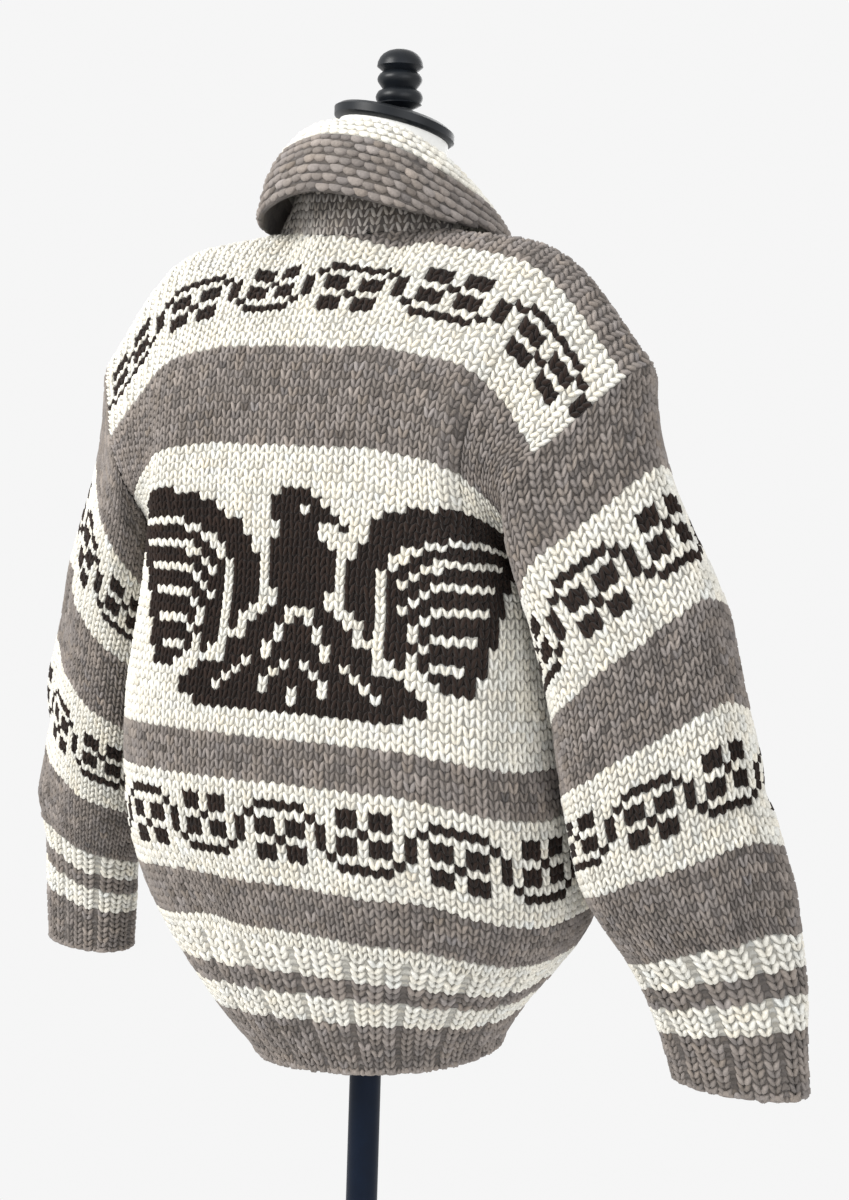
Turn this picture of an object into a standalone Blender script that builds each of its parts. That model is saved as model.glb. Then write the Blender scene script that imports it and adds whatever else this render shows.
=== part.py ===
"""Cowichan sweater worn on a limbless dress form.

Front is -Y, back is +Y, the wearer's right is -X and the floor is z = 0. Blender units are metres.
Garment tables are in millimetres, with heights as rise over the hem.
Every knitted panel is a wall between an outer sheet of points and a plain inner one.
"""

import math
from functools import lru_cache

import bpy
from mathutils import Vector
from mathutils.bvhtree import BVHTree
from mathutils.geometry import tessellate_polygon

MM = 0.001

# Driving sizes
HEM_HEIGHT = 660.0
WALL = 5.0
SEAM_GAP = 0.4
UNDERARM_RISE = 395.0
CUFF_RISE = 29.0
BACK_STITCHES = 40
FRONT_STITCHES = 20
CUFF_STITCHES = 28
RIB_STITCHES = 4
RIB_DEPTH = 2.2
HEM_RIB_SHARE = 0.150
FRONT_EDGE_X = 3.6
GARMENT_PLACE = (7.0, 4.0, 0.0)
HEM_RISE = 5.0
HEM_TILT = (-0.13, -0.03)
HEM_TILT_REACH = 170.0

# Body below the underarm, one row for each level ring
BODY_RINGS = (
    # rise, half_width, half_depth, shift_x, shift_y, square
    (0, 109, 80, -14, -14, 2.2),
    (12, 113, 83, -13, -12, 2.2),
    (40, 134, 93, -10, -6, 2.3),
    (80, 164, 108, -9, 0, 2.4),
    (120, 191, 122, -8, 5, 2.5),
    (160, 205, 132, -6, 9, 2.6),
    (210, 207, 138, -3, 14, 2.7),
    (300, 203, 138, 0, 17, 2.8),
    (395, 196, 132, 0, 12, 2.8),
)

# Three yoke levels above the underarm, from the middle of the panel to its armhole edge
BACK_YOKE = (
    # x, y, rise at the middle, one third, two thirds and the armhole
    ((0, 141, 502), (74, 138, 500), (144, 126, 494), (183, 115, 484)),
    ((0, 126, 608), (77, 120, 604), (154, 106, 582), (222, 90, 538)),
    ((0, 78, 693), (86, 30, 700), (188, 32, 677), (264, 28, 590)),
)
FRONT_YOKE = (
    ((0, -116, 500), (74, -114, 499), (146, -102, 494), (192, -82, 478)),
    ((0, -104, 604), (78, -97, 602), (156, -78, 582), (222, -68, 536)),
    ((0, -46, 693), (86, 30, 700), (188, 32, 677), (264, 28, 590)),
)
NECK_SIDE = 1 / 3
NECK_FRONT_LEVEL = 0.52
# The share of a column's rows that lies below the underarm
UNDERARM_LEVEL = 0.56

# Sleeve sections, level cuts of the hanging tube
SLEEVE_CUTS = (
    # rise, centre_x, centre_y, half_long, half_short, turn
    (20, 331, -40, 52, 30, 10),
    (70, 326, -31, 57, 32, 14),
    (120, 319, -20, 67, 37, 28),
    (180, 301, 0, 81, 45, 36),
    (240, 289, 9, 82, 47, 38),
    (340, 270, 16, 79, 49, 40),
    (395, 256, 18, 78, 55, 44),
    (480, 227, 16, 80, 66, 48),
    (580, 200, 14, 76, 72, 50),
)
# How far the hanging tube swings back, and how full it is, at the wearer's left and right
SLEEVE_SWING = {1: (-6.0, 0.92), -1: (13.0, 1.0)}
SLEEVE_BLEND = 0.34
SLEEVE_CLEAR = 2.5

# Largest folds: place across, place along, half width, half length, depth
BACK_FOLDS = (
    # across, along, half_across, half_along, depth
    (-0.62, 0.68, 0.11, 0.18, 5.0),
    (-0.84, 0.62, 0.10, 0.18, -7.0),
    (0.78, 0.64, 0.10, 0.16, -5.0),
    (0.55, 0.72, 0.12, 0.15, 3.0),
    (-0.30, 0.26, 0.12, 0.09, 4.0),
    (0.35, 0.22, 0.14, 0.08, -4.0),
    (0.10, 0.36, 0.16, 0.10, 3.0),
)
FRONT_FOLDS = (
    (0.76, 0.63, 0.08, 0.16, -5.0),
    (0.50, 0.30, 0.14, 0.10, 4.0),
    (0.30, 0.50, 0.14, 0.12, -3.0),
)
SLEEVE_FOLDS = (
    (0.22, 0.30, 0.06, 0.10, -5.0),
    (0.10, 0.52, 0.07, 0.08, 4.0),
    (0.20, 0.72, 0.08, 0.06, 5.0),
    (-0.22, 0.42, 0.07, 0.10, -4.0),
    (-0.12, 0.70, 0.08, 0.07, 4.0),
)

# Collar, from the back of the neck to the zip: where its fold and its free edge lie
COLLAR_STATIONS = (
    # along, fold_x, fold_y, fold_rise, edge_x, edge_y, edge_rise
    (0.00, 0, 58, 789, 0, 112, 724),
    (0.18, 36, 50, 784, 56, 94, 714),
    (0.36, 60, 22, 766, 91, 50, 704),
    (0.52, 66, -14, 745, 108, -6, 698),
    (0.70, 60, -56, 720, 104, -60, 674),
    (0.86, 38, -94, 668, 78, -102, 630),
    (1.00, 14, -120, 602, 42, -123, 580),
)
COLLAR_SEAM_GAP = 0.7
COLLAR_INNER_GAP = 1.4
COLLAR_SIDE = 0.42
NECK_MIDDLE = {"back": 0.0, "front": 0.02}
COLLAR_WALL = 5.0
COLLAR_BACK_STEPS = 8
COLLAR_FRONT_STEPS = 8

# Zip on the hidden front
TAPE_WIDTH = 14.0
TAPE_THICKNESS = 1.0
CHAIN_HALF = 2.9
CHAIN_DEPTH = 2.4
TAPE_GAP = 0.7
ZIP_END_UP = 0.02
END_HALF = 2.8
END_LONG = 4.0
END_THICKNESS = 1.2
# The slider's heights are measured out from its back
SLIDER_UP = 0.7285
SLIDER_LONG = 12.0
SLIDER_BODY = 4.0
BRIDGE_HALF = 2.4
BRIDGE_LONG = 7.2
BRIDGE_THICKNESS = 1.5
BRIDGE_CLEAR = 1.8
PIN_HEIGHT = 7.0
PULL_LONG = 30.0
PULL_THICKNESS = 1.6
PULL_ARM = 1.6
PULL_WAIST = 2.6
EYE_HALF = 3.0
EYE_LONG = 5.6

# Dress form and stand
FORM_RINGS = (
    # rise, half_width, half_depth, shift_x, shift_y, square
    (150, 132, 84, 0, 4, 2.2),
    (160, 140, 92, 0, 4, 2.2),
    (240, 138, 88, 0, 4, 2.2),
    (330, 144, 94, 0, 6, 2.3),
    (440, 158, 104, 2, 8, 2.4),
    (520, 174, 100, 4, 12, 2.4),
    (595, 192, 80, 6, 18, 2.3),
    (636, 184, 57, 7, 26, 2.2),
    (658, 156, 41, 7, 31, 2.1),
    (669, 118, 27, 7, 35, 2.0),
    (676, 78, 18, 7, 38, 2.0),
    (678, 60, 24, 7, 30, 2.0),
    (686, 50, 33, 5, 17, 2.0),
    (706, 47, 42, 3, 7, 2.0),
    (728, 47, 46, 1, 3, 2.0),
)
FORM_SIDES = 32
FORM_GAP = 1.0
SHOULDER_RISE = 600.0
LIFT_STEP = 0.25
NECK_RADIUS = 47.0
NECK_TOP_RISE = 789.0
CAP_RADIUS = 52.0
CAP_THICKNESS = 12.0
CAP_SLOPE_X = 0.16
CAP_SLOPE_Y = 0.16
FINIAL_CENTRE = (-3.0, -2.0)
POLE_RADIUS = 13.5
BASE_RADIUS = 160.0
BASE_HEIGHT = 26.0
SEAT_GAP = 0.3


def clear_scene():
    for old in list(bpy.data.objects):
        bpy.data.objects.remove(old, do_unlink=True)


def material(name, colour, roughness, metallic=0.0):
    made = bpy.data.materials.new(name)
    made.use_nodes = True
    shader = made.node_tree.nodes["Principled BSDF"]
    shader.inputs["Base Color"].default_value = (*colour, 1.0)
    shader.inputs["Roughness"].default_value = roughness
    shader.inputs["Metallic"].default_value = metallic
    return made


def add_object(name, points, faces, look, place=(0.0, 0.0, 0.0)):
    """A named mesh object from points in millimetres."""
    mesh = bpy.data.meshes.new(name)
    mesh.from_pydata([Vector(p) * MM for p in points], [], faces)
    mesh.update()
    made = bpy.data.objects.new(name, mesh)
    made.location = Vector(place) * MM
    made.data.materials.append(look)
    bpy.context.scene.collection.objects.link(made)
    return made


def read_table(table, key):
    """The columns of a table at a key, by a smooth curve through its rows."""
    keys = [row[0] for row in table]
    key = min(max(key, keys[0]), keys[-1])
    i = max(j for j in range(len(keys) - 1) if keys[j] <= key) if key > keys[0] else 0
    lo, hi = table[i], table[i + 1]
    span = hi[0] - lo[0]
    x = (key - lo[0]) / span
    before = table[i - 1] if i > 0 else lo
    after = table[i + 2] if i + 2 < len(table) else hi
    values = []
    for c in range(1, len(lo)):
        m0 = (hi[c] - before[c]) / (hi[0] - before[0]) * span
        m1 = (after[c] - lo[c]) / (after[0] - lo[0]) * span
        a = (2 * x**3 - 3 * x**2 + 1) * lo[c] + (x**3 - 2 * x**2 + x) * m0
        values.append(a + (3 * x**2 - 2 * x**3) * hi[c] + (x**3 - x**2) * m1)
    return values


def smooth_step(x):
    x = min(max(x, 0.0), 1.0)
    return x * x * (3 - 2 * x)


def along(points, share):
    """The point at a share of a polyline's length."""
    lengths = [0.0]
    for a, b in zip(points, points[1:]):
        lengths.append(lengths[-1] + (b - a).length)
    target = share * lengths[-1]
    for i in range(len(points) - 1):
        if lengths[i + 1] >= target:
            step = lengths[i + 1] - lengths[i]
            return points[i].lerp(points[i + 1], (target - lengths[i]) / step if step else 0.0)
    return points[-1].copy()


@lru_cache(maxsize=None)
def half_ring(rise):
    """The body's ring at a level, from the middle of the back to the middle of the front."""
    width, depth, _, _, square = read_table(BODY_RINGS, rise)
    points = []
    for k in range(97):
        a = math.pi * k / 96
        x = width * abs(math.sin(a)) ** (2 / square)
        y = math.copysign(depth * abs(math.cos(a)) ** (2 / square), math.cos(a))
        points.append(Vector((x, y, 0.0)))
    return points


def ring_point(rise, share, side):
    """share runs 0 to 1 from the middle back to the middle front, side is +1 at the wearer's left."""
    _, _, shift_x, shift_y, _ = read_table(BODY_RINGS, rise)
    p = along(half_ring(rise), share)
    tilt = 1 - smooth_step(rise / HEM_TILT_REACH)
    level = rise + tilt * (HEM_TILT[0] * side * p.x + HEM_TILT[1] * p.y)
    return Vector((side * p.x + shift_x, p.y + shift_y, level + HEM_HEIGHT))


def spline_point(a, b, c, d, x):
    """A point between b and c on a Catmull-Rom curve."""
    return 0.5 * (2 * b + (c - a) * x + (2 * a - 5 * b + 4 * c - d) * x**2 + (3 * b - a - 3 * c + d) * x**3)


def yoke_row(controls, share, side, at_top):
    """A point across one yoke level, share 0 at the middle and 1 at the armhole.

    The top level is the neck edge as far as one third, and from there the shoulder seam."""
    row = [Vector((side * x, y, rise + HEM_HEIGHT)) for x, y, rise in controls]
    mirror = Vector((-row[1].x, row[1].y, row[1].z))
    row = [mirror, *row, 2 * row[-1] - row[-2]]
    i = min(int(share * 3), 2)
    if at_top and i == 1:
        row[1] = 2 * row[2] - row[3]
    return spline_point(row[i], row[i + 1], row[i + 2], row[i + 3], share * 3 - i)


@lru_cache(maxsize=None)
def column_curve(face, share, side):
    """One column of stitches from the hem to the top of the panel, as a fine polyline."""
    ring_share = share / 2 if face == "back" else 1 - share / 2
    yoke, other = (BACK_YOKE, FRONT_YOKE) if face == "back" else (FRONT_YOKE, BACK_YOKE)
    step = (UNDERARM_RISE - HEM_RISE) / 40
    points = [ring_point(HEM_RISE + step * k, ring_share, side) for k in range(41)]
    knots = [ring_point(UNDERARM_RISE - 100, ring_share, side), points[-1]]
    knots += [yoke_row(level, share, side, level is yoke[-1]) for level in yoke]
    straight_on = knots[-1] + (knots[-1] - knots[-2]) * 0.6
    over_shoulder = yoke_row(other[1], share, side, False)
    knots.append(straight_on.lerp(over_shoulder, smooth_step((share - 0.2) / (NECK_SIDE - 0.2))))
    for i in range(3):
        for k in range(1, 13):
            points.append(spline_point(knots[i], knots[i + 1], knots[i + 2], knots[i + 3], k / 12))
    return points


def fold_height(folds, across, up):
    """The soft ridges and valleys at a place on a panel, in millimetres."""
    total = 0.0
    for at_across, at_up, half_across, half_up, depth in folds:
        u = (across - at_across) / half_across
        v = (up - at_up) / half_up
        total += depth * math.exp(-u * u - v * v)
    return total


@lru_cache(maxsize=None)
def column_parts(face, share, side):
    points = column_curve(face, share, side)
    return points[:41], points[40:]


def body_bare(face, across, up):
    """A point on the back (across -1 to 1, +1 at the wearer's left) or on a front."""
    side = 1 if across >= 0 else -1
    below, above = column_parts(face, round(min(abs(across), 1.0), 5), side)
    if up <= UNDERARM_LEVEL:
        return along(below, up / UNDERARM_LEVEL)
    return along(above, (up - UNDERARM_LEVEL) / (1 - UNDERARM_LEVEL))


def sheet_normal(point_at, a, b, outward, step=0.004):
    """The outward normal of a sheet of points."""
    du = point_at(min(a + step, 1.0), b) - point_at(max(a - step, -1.0), b)
    dv = point_at(a, min(b + step, 1.0)) - point_at(a, max(b - step, 0.0))
    n = du.cross(dv)
    n.normalize()
    return n * outward


def back_normal(across, up):
    return sheet_normal(lambda a, b: body_bare("back", a, b), across, up, -1)


def front_normal(across, up):
    """across keeps its sign, so that the step at the middle is taken on one side."""
    side = 1 if across >= 0 else -1

    def point_at(a, b):
        return body_bare("front", side * abs(a), b)

    step = 0.004
    lo, hi = max(abs(across) - step, 0.001), min(abs(across) + step, 1.0)
    du = point_at(hi, up) - point_at(lo, up)
    dv = point_at(hi, min(up + step, 1.0)) - point_at(hi, max(up - step, 0.0))
    n = du.cross(dv)
    n.normalize()
    return n * side


def neck_level(share):
    """How far up a front's column reaches before the V neck cuts it."""
    if share >= NECK_SIDE:
        return 1.0
    yoke_top = NECK_FRONT_LEVEL + (1 - NECK_FRONT_LEVEL) * (share / NECK_SIDE) ** 0.8
    return UNDERARM_LEVEL + (1 - UNDERARM_LEVEL) * yoke_top


def front_up(share, level):
    """A front's rows close up under the V neck."""
    if level <= UNDERARM_LEVEL:
        return level
    top = neck_level(share)
    return UNDERARM_LEVEL + (level - UNDERARM_LEVEL) * (top - UNDERARM_LEVEL) / (1 - UNDERARM_LEVEL)


@lru_cache(maxsize=None)
def armhole_half(face, side):
    """The armhole edge of a panel from the shoulder tip to the underarm."""
    return list(reversed(column_curve(face, 1.0, side)[40:]))


def armhole_point(around, side):
    """around runs 0 at the shoulder tip to 1 at the underarm, below 0 along the front."""
    face = "back" if around >= 0 else "front"
    return along(armhole_half(face, side), abs(around))


@lru_cache(maxsize=None)
def sleeve_cut(rise, side):
    """Half sections of the sleeve at a level: back half and front half, from the outer side."""
    cx, cy, half_long, half_short, turn = read_table(SLEEVE_CUTS, rise)
    turn = math.radians(turn)
    swing, fullness = SLEEVE_SWING[side]
    share = (rise - SLEEVE_CUTS[0][0]) / (SLEEVE_CUTS[-1][0] - SLEEVE_CUTS[0][0])
    cy += swing * math.sin(math.pi * min(max(share, 0.0), 1.0))
    half_long *= fullness

    def polar(angle):
        a = angle + turn
        r = (abs(math.cos(a) / half_long) ** 2.3 + abs(math.sin(a) / half_short) ** 2.3) ** (-1 / 2.3)
        return Vector((side * (cx + r * math.cos(angle)), cy + r * math.sin(angle), 0.0))

    back = [polar(math.pi * k / 48) for k in range(49)]
    front = [polar(-math.pi * k / 48) for k in range(49)]
    return back, front


def beside_body(x, y, rise, down, side):
    """Moves a sleeve point out until it lies clear of the body's side."""
    width, depth, shift_x, shift_y, square = read_table(BODY_RINGS, min(rise, UNDERARM_RISE))
    reach = 1 - abs((y - shift_y) / depth) ** square
    if reach <= 0 or down == 0:
        return x
    clear = SLEEVE_CLEAR * smooth_step(down / 0.12)
    nearest = width * reach ** (1 / square) + side * shift_x + clear
    past = x - nearest
    soft = 2 * SLEEVE_CLEAR * smooth_step(down / 0.12)
    return nearest + 0.5 * (past + math.sqrt(past * past + soft * soft))


def sleeve_bare(around, down, side):
    """A point on the sleeve: around -1 to 1 with 0 on the outer line, down 0 at the armhole."""
    top = armhole_point(around, side)
    z = top.z + (HEM_HEIGHT + CUFF_RISE - top.z) * down
    halves = sleeve_cut(round(z - HEM_HEIGHT, 1), side)
    cut = along(halves[0 if around >= 0 else 1], abs(around))
    mix = smooth_step(down / SLEEVE_BLEND)
    x, y = top.x + (cut.x - top.x) * mix, top.y + (cut.y - top.y) * mix
    return Vector((side * beside_body(side * x, y, z - HEM_HEIGHT, down, side), y, z))


def wrap(around):
    return (around + 1) % 2 - 1


def sleeve_normal(around, down, side):
    step = 0.006
    du = sleeve_bare(wrap(around + step), down, side) - sleeve_bare(wrap(around - step), down, side)
    lo, hi = max(down - step, 0.0), min(down + step, 1.0)
    dv = sleeve_bare(around, hi, side) - sleeve_bare(around, lo, side)
    n = du.cross(dv)
    n.normalize()
    return n * -side


def ridge_share(own, other):
    """1 where two walls meet flat or in a ridge, 0 where one turns back on the other."""
    return min(max(0.5 + 5 * own.dot(other), 0.0), 1.0)


def shared_normal(own, other):
    """The wall's direction at a seam: halfway round a ridge, and its own where the cloth turns back."""
    return (own + other * ridge_share(own, other)).normalized()


def shoulder_normal(across):
    """The walls' one direction along the shoulder seam."""
    return (back_normal(across, 0.996) + front_normal(across, 0.996)).normalized()


@lru_cache(maxsize=None)
def tip_normal(side):
    """The walls' one direction at the shoulder tip, where back, front and sleeve meet."""
    n = back_normal(side * 0.98, 0.99) + front_normal(side * 0.98, 0.99) + sleeve_normal(0.0, 0.02, side)
    return n.normalized()


def rib_height(phase, depth):
    """Three stitches stand out and one lies back."""
    if phase < 0.74:
        return 0.35 * depth * math.sin(math.pi * phase / 0.74)
    return -depth * math.sin(math.pi * (phase - 0.74) / 0.26)


def rib_places(start, stitches, width):
    """Places across a ribbed edge, four to a rib."""
    ribs = stitches / RIB_STITCHES
    places = [start]
    for rib in range(math.ceil(ribs)):
        for phase in (0.37, 0.74, 0.87, 1.0):
            share = (rib + phase) / ribs
            if share < 0.999:
                places.append(start + width * share)
    places.append(start + width)
    return places


def strip(faces, first, second, flip=False):
    """Triangles between two rows of (place, index), whatever their counts."""
    i = j = 0
    while i < len(first) - 1 or j < len(second) - 1:
        a, b = first[i][1], second[j][1]
        next_a = first[i + 1][0] if i < len(first) - 1 else math.inf
        next_b = second[j + 1][0] if j < len(second) - 1 else math.inf
        if next_a <= next_b:
            face = (a, first[i + 1][1], b)
            i += 1
        else:
            face = (a, second[j + 1][1], b)
            j += 1
        faces.append(face[::-1] if flip else face)


def close_panel(name, points, outer, inner, look, turned):
    """A closed wall from an outer and an inner sheet, each a list of rows of (place, index)."""
    faces = []
    for a, b in zip(outer, outer[1:]):
        strip(faces, a, b)
    for a, b in zip(inner, inner[1:]):
        strip(faces, a, b, flip=True)
    strip(faces, outer[0], inner[0], flip=True)
    strip(faces, outer[-1], inner[-1])
    for end in (0, -1):
        outer_edge = [(level, row[end][1]) for level, row in zip(OUTER_LEVELS, outer)]
        inner_edge = [(level, row[end][1]) for level, row in zip(INNER_LEVELS, inner)]
        strip(faces, outer_edge, inner_edge, flip=end == -1)
    if turned:
        faces = [face[::-1] for face in faces]
    return add_object(name, points, faces, look, GARMENT_PLACE)


def panel_rows(points, levels, places_at, point_at):
    """Rows of (place, index), adding each point to the list."""
    rows = []
    for level in levels:
        row = []
        for place in places_at(level):
            row.append((place, len(points)))
            points.append(point_at(place, level))
        rows.append(row)
    return rows


def even(start, end, count):
    return [start + (end - start) * k / count for k in range(count + 1)]


RIB_LEVELS = (0.0, 0.012, 0.05, 0.10, HEM_RIB_SHARE)
PLAIN_LEVELS = (0.175, 0.21, 0.25, 0.30, 0.36, 0.42, 0.48, 0.53)
YOKE_SHEET_LEVELS = (UNDERARM_LEVEL, 0.60, 0.65, 0.70, 0.725, 0.75, 0.775, 0.80, 0.85, 0.90, 0.95, 0.98, 1.0)
OUTER_LEVELS = RIB_LEVELS + PLAIN_LEVELS + YOKE_SHEET_LEVELS
INNER_LEVELS = (0.0, 0.05, 0.10, 0.15, 0.21, 0.27, 0.35, 0.43, 0.50) + YOKE_SHEET_LEVELS
SHEET_COLUMNS = 12
INNER_COLUMNS = 9


def seam_share(face, share, side):
    """The share of a yoke column that half the seam gap takes."""
    above = column_parts(face, round(share, 5), side)[1]
    return SEAM_GAP / 2 * (1 - UNDERARM_LEVEL) / sum((b - a).length for a, b in zip(above, above[1:]))


def body_wall_point(face, across, level, out, inside):
    """A point of a body panel's wall: across is inside its seams, out is the relief."""
    side = 1 if across >= 0 else -1
    normal_at = back_normal if face == "back" else front_normal
    up = level if face == "back" else front_up(abs(across), level)
    up -= seam_share(face, abs(across), side) if level == 1.0 else 0.0
    base = body_bare(face, across, up)
    n = normal_at(across, up)
    at_edge = abs(across) > 0.995
    if at_edge and level == 1.0:
        n = tip_normal(side)
    elif level == 1.0 and abs(across) > NECK_SIDE - 0.01:
        n = shoulder_normal(across)
    elif at_edge and up > UNDERARM_LEVEL + 0.004:
        n = shared_normal(n, sleeve_normal(armhole_around(face, up), 0.012, side))
    if inside:
        return base - n * WALL
    folds = BACK_FOLDS if face == "back" else FRONT_FOLDS
    place = across if face == "back" else abs(across)
    lift = 0.0 if at_edge or level == 1.0 else fold_height(folds, place, up)
    return base + n * (out + lift)


def armhole_around(face, level):
    """The place around the armhole of a level on a panel's edge."""
    share = (1 - level) / (1 - UNDERARM_LEVEL)
    return share if face == "back" else -share


def edge_inset(face, level, side):
    """The share of a row that half the seam gap takes at a panel's edge."""
    return SEAM_GAP / 2 / (body_bare(face, side * 1.0, level) - body_bare(face, side * 0.9, level)).length * 0.1


def inner_columns(level):
    """The inner sheet meets the outer one column for column along its top edge."""
    return SHEET_COLUMNS if level == 1.0 else INNER_COLUMNS


def make_back(look):
    points = []

    def ends(level):
        return -1 + edge_inset("back", level, -1), 1 - edge_inset("back", level, 1)

    def outer_places(level):
        lo, hi = ends(level)
        if level in RIB_LEVELS:
            return rib_places(lo, BACK_STITCHES, hi - lo)
        return [lo] + even(-1, 1, 2 * SHEET_COLUMNS)[1:-1] + [hi]

    def inner_places(level):
        lo, hi = ends(level)
        return [lo] + even(-1, 1, 2 * inner_columns(level))[1:-1] + [hi]

    def outer_point(across, level):
        relief = 0.0
        if level in RIB_LEVELS and abs(across) < 0.99:
            phase = (across + 1) / 2 * BACK_STITCHES / RIB_STITCHES % 1.0
            relief = rib_height(phase, RIB_DEPTH)
        return body_wall_point("back", across, level, relief, False)

    def inner_point(across, level):
        return body_wall_point("back", across, level, 0.0, True)

    outer = panel_rows(points, OUTER_LEVELS, outer_places, outer_point)
    inner = panel_rows(points, INNER_LEVELS, inner_places, inner_point)
    return close_panel("back", points, outer, inner, look, turned=True)


def make_front(name, side, look):
    points = []

    def ends(level):
        up = front_up(0.05, level)
        row = body_bare("front", side * 0.1, up) - body_bare("front", side * 0.0001, up)
        return FRONT_EDGE_X / (row.length * 10), 1 - edge_inset("front", level, side)

    def outer_places(level):
        lo, hi = ends(level)
        if level in RIB_LEVELS:
            return rib_places(lo, FRONT_STITCHES, hi - lo)
        return [lo] + even(0, 1, SHEET_COLUMNS)[1:-1] + [hi]

    def inner_places(level):
        lo, hi = ends(level)
        return [lo] + even(0, 1, inner_columns(level))[1:-1] + [hi]

    def outer_point(share, level):
        relief = 0.0
        if level in RIB_LEVELS and 0.03 < share < 0.98:
            relief = rib_height(share * FRONT_STITCHES / RIB_STITCHES % 1.0, RIB_DEPTH)
        return body_wall_point("front", side * share, level, relief, False)

    def inner_point(share, level):
        return body_wall_point("front", side * share, level, 0.0, True)

    outer = panel_rows(points, OUTER_LEVELS, outer_places, outer_point)
    inner = panel_rows(points, INNER_LEVELS, inner_places, inner_point)
    return close_panel(name, points, outer, inner, look, turned=side < 0)


SLEEVE_LEVELS = (0.0, 0.012, 0.04, 0.08, 0.12, 0.17, 0.22, 0.28, 0.34, 0.41, 0.48, 0.55, 0.62, 0.69, 0.75, 0.785)
CUFF_LEVELS = (0.80, 0.85, 0.90, 0.95, 0.985, 1.0)
SLEEVE_INNER_LEVELS = (0.0, 0.012, 0.04, 0.10, 0.17, 0.25, 0.34, 0.44, 0.55, 0.66, 0.75, 0.84, 0.92, 1.0)


def sleeve_wall_point(around, down, out, inside, side):
    base = sleeve_bare(around, down, side)
    n = sleeve_normal(around, max(down, 0.006), side)
    if down == 0.0:
        face = "back" if around >= 0 else "front"
        level = 1 - abs(around) * (1 - UNDERARM_LEVEL)
        normal_at = back_normal if face == "back" else front_normal
        panel_n = normal_at(side * 0.995, min(level, 0.996))
        own = n
        n = tip_normal(side) if around == 0 else shared_normal(own, panel_n)
        start = sleeve_bare(around, 0.004, side) - base
        base = base + start.normalized() * SEAM_GAP / 2
        base = base + panel_n * SEAM_GAP * 1.5 * (1 - ridge_share(own, panel_n))
    if inside:
        return base - n * WALL
    lift = 0.0 if down == 0.0 else fold_height(SLEEVE_FOLDS, around, down)
    return base + n * (out + lift)


def make_sleeve(name, side, look):
    """A tube whose rows are closed, with ribs round the cuff."""
    points = []
    ribs = CUFF_STITCHES // RIB_STITCHES

    def places(level):
        row = []
        for rib in range(ribs):
            row += [(rib + phase) / ribs * 2 - 1 for phase in (0.0, 0.37, 0.74, 0.87)]
        return row

    def outer_point(around, down):
        relief = 0.0
        if down in CUFF_LEVELS:
            relief = rib_height((around + 1) / 2 * ribs % 1.0, RIB_DEPTH)
        return sleeve_wall_point(around, down, relief, False, side)

    def inner_point(around, down):
        return sleeve_wall_point(around, down, 0.0, True, side)

    seam = [armhole_around("front", level) for level in YOKE_SHEET_LEVELS]
    seam += [armhole_around("back", level) for level in reversed(YOKE_SHEET_LEVELS[1:-1])]

    def outer_places(level):
        return seam if level == 0.0 else places(level)

    def inner_places(level):
        return seam if level == 0.0 else even(-1, 1, 20)[:-1]

    outer = panel_rows(points, SLEEVE_LEVELS + CUFF_LEVELS, outer_places, outer_point)
    inner = panel_rows(points, SLEEVE_INNER_LEVELS, inner_places, inner_point)
    faces = []

    def ring(row):
        return row + [(row[0][0] + 2, row[0][1])]

    turned = side > 0
    for a, b in zip(outer, outer[1:]):
        strip(faces, ring(a), ring(b), flip=turned)
    for a, b in zip(inner, inner[1:]):
        strip(faces, ring(a), ring(b), flip=not turned)
    # Each half runs up from the underarm, so that its rim matches the panel's
    top = len(YOKE_SHEET_LEVELS)
    strip(faces, outer[0][:top], inner[0][:top], flip=not turned)
    back_outer = [(-place, index) for place, index in reversed(ring(outer[0])[top - 1:])]
    back_inner = [(-place, index) for place, index in reversed(ring(inner[0])[top - 1:])]
    strip(faces, back_outer, back_inner, flip=turned)
    strip(faces, ring(outer[-1]), ring(inner[-1]), flip=turned)
    return add_object(name, points, faces, look, GARMENT_PLACE)


@lru_cache(maxsize=None)
def neck_corner(face, share, side):
    """The outer and inner points just past a panel's neck edge, at one of its columns."""

    def rim(place):
        return body_bare(face, side * place, 1.0 if face == "back" else neck_level(place))

    here = rim(share)
    up = 1.0 if face == "back" else neck_level(share)
    normal_at = back_normal if face == "back" else front_normal
    n = normal_at(side * max(share, 0.004), up)
    onward = n.cross(rim(share + 0.01) - rim(max(share - 0.01, 0.001)))
    onward *= math.copysign(1.0, onward.dot(here - body_bare(face, side * share, up - 0.01)))
    if abs(share - NECK_SIDE) < 0.01:
        n = shoulder_normal(side * share)
        onward = Vector((-side, 0, 0)) + n * n.x * side
    onward.normalize()
    return here + onward * COLLAR_SEAM_GAP, here + onward * COLLAR_INNER_GAP - n * WALL


def neck_seam(station):
    """The collar's seam line, straight between the panels' columns, from the back to the zip."""
    side = 1 if station >= 0 else -1
    place = abs(station)
    if place < COLLAR_SIDE:
        face, share = "back", NECK_SIDE * place / COLLAR_SIDE
    else:
        face, share = "front", NECK_SIDE * (1 - (place - COLLAR_SIDE) / (1 - COLLAR_SIDE))
    column = min(int(share * SHEET_COLUMNS + 1e-6), int(NECK_SIDE * SHEET_COLUMNS) - 1)
    ends = [max(round(c / SHEET_COLUMNS, 5), NECK_MIDDLE[face]) for c in (column, column + 1)]
    mix = min(max((share - ends[0]) / (ends[1] - ends[0]), 0.0), 1.0)
    lo, hi = neck_corner(face, ends[0], side), neck_corner(face, ends[1], side)
    return lo[0].lerp(hi[0], mix), lo[1].lerp(hi[1], mix)


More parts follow.
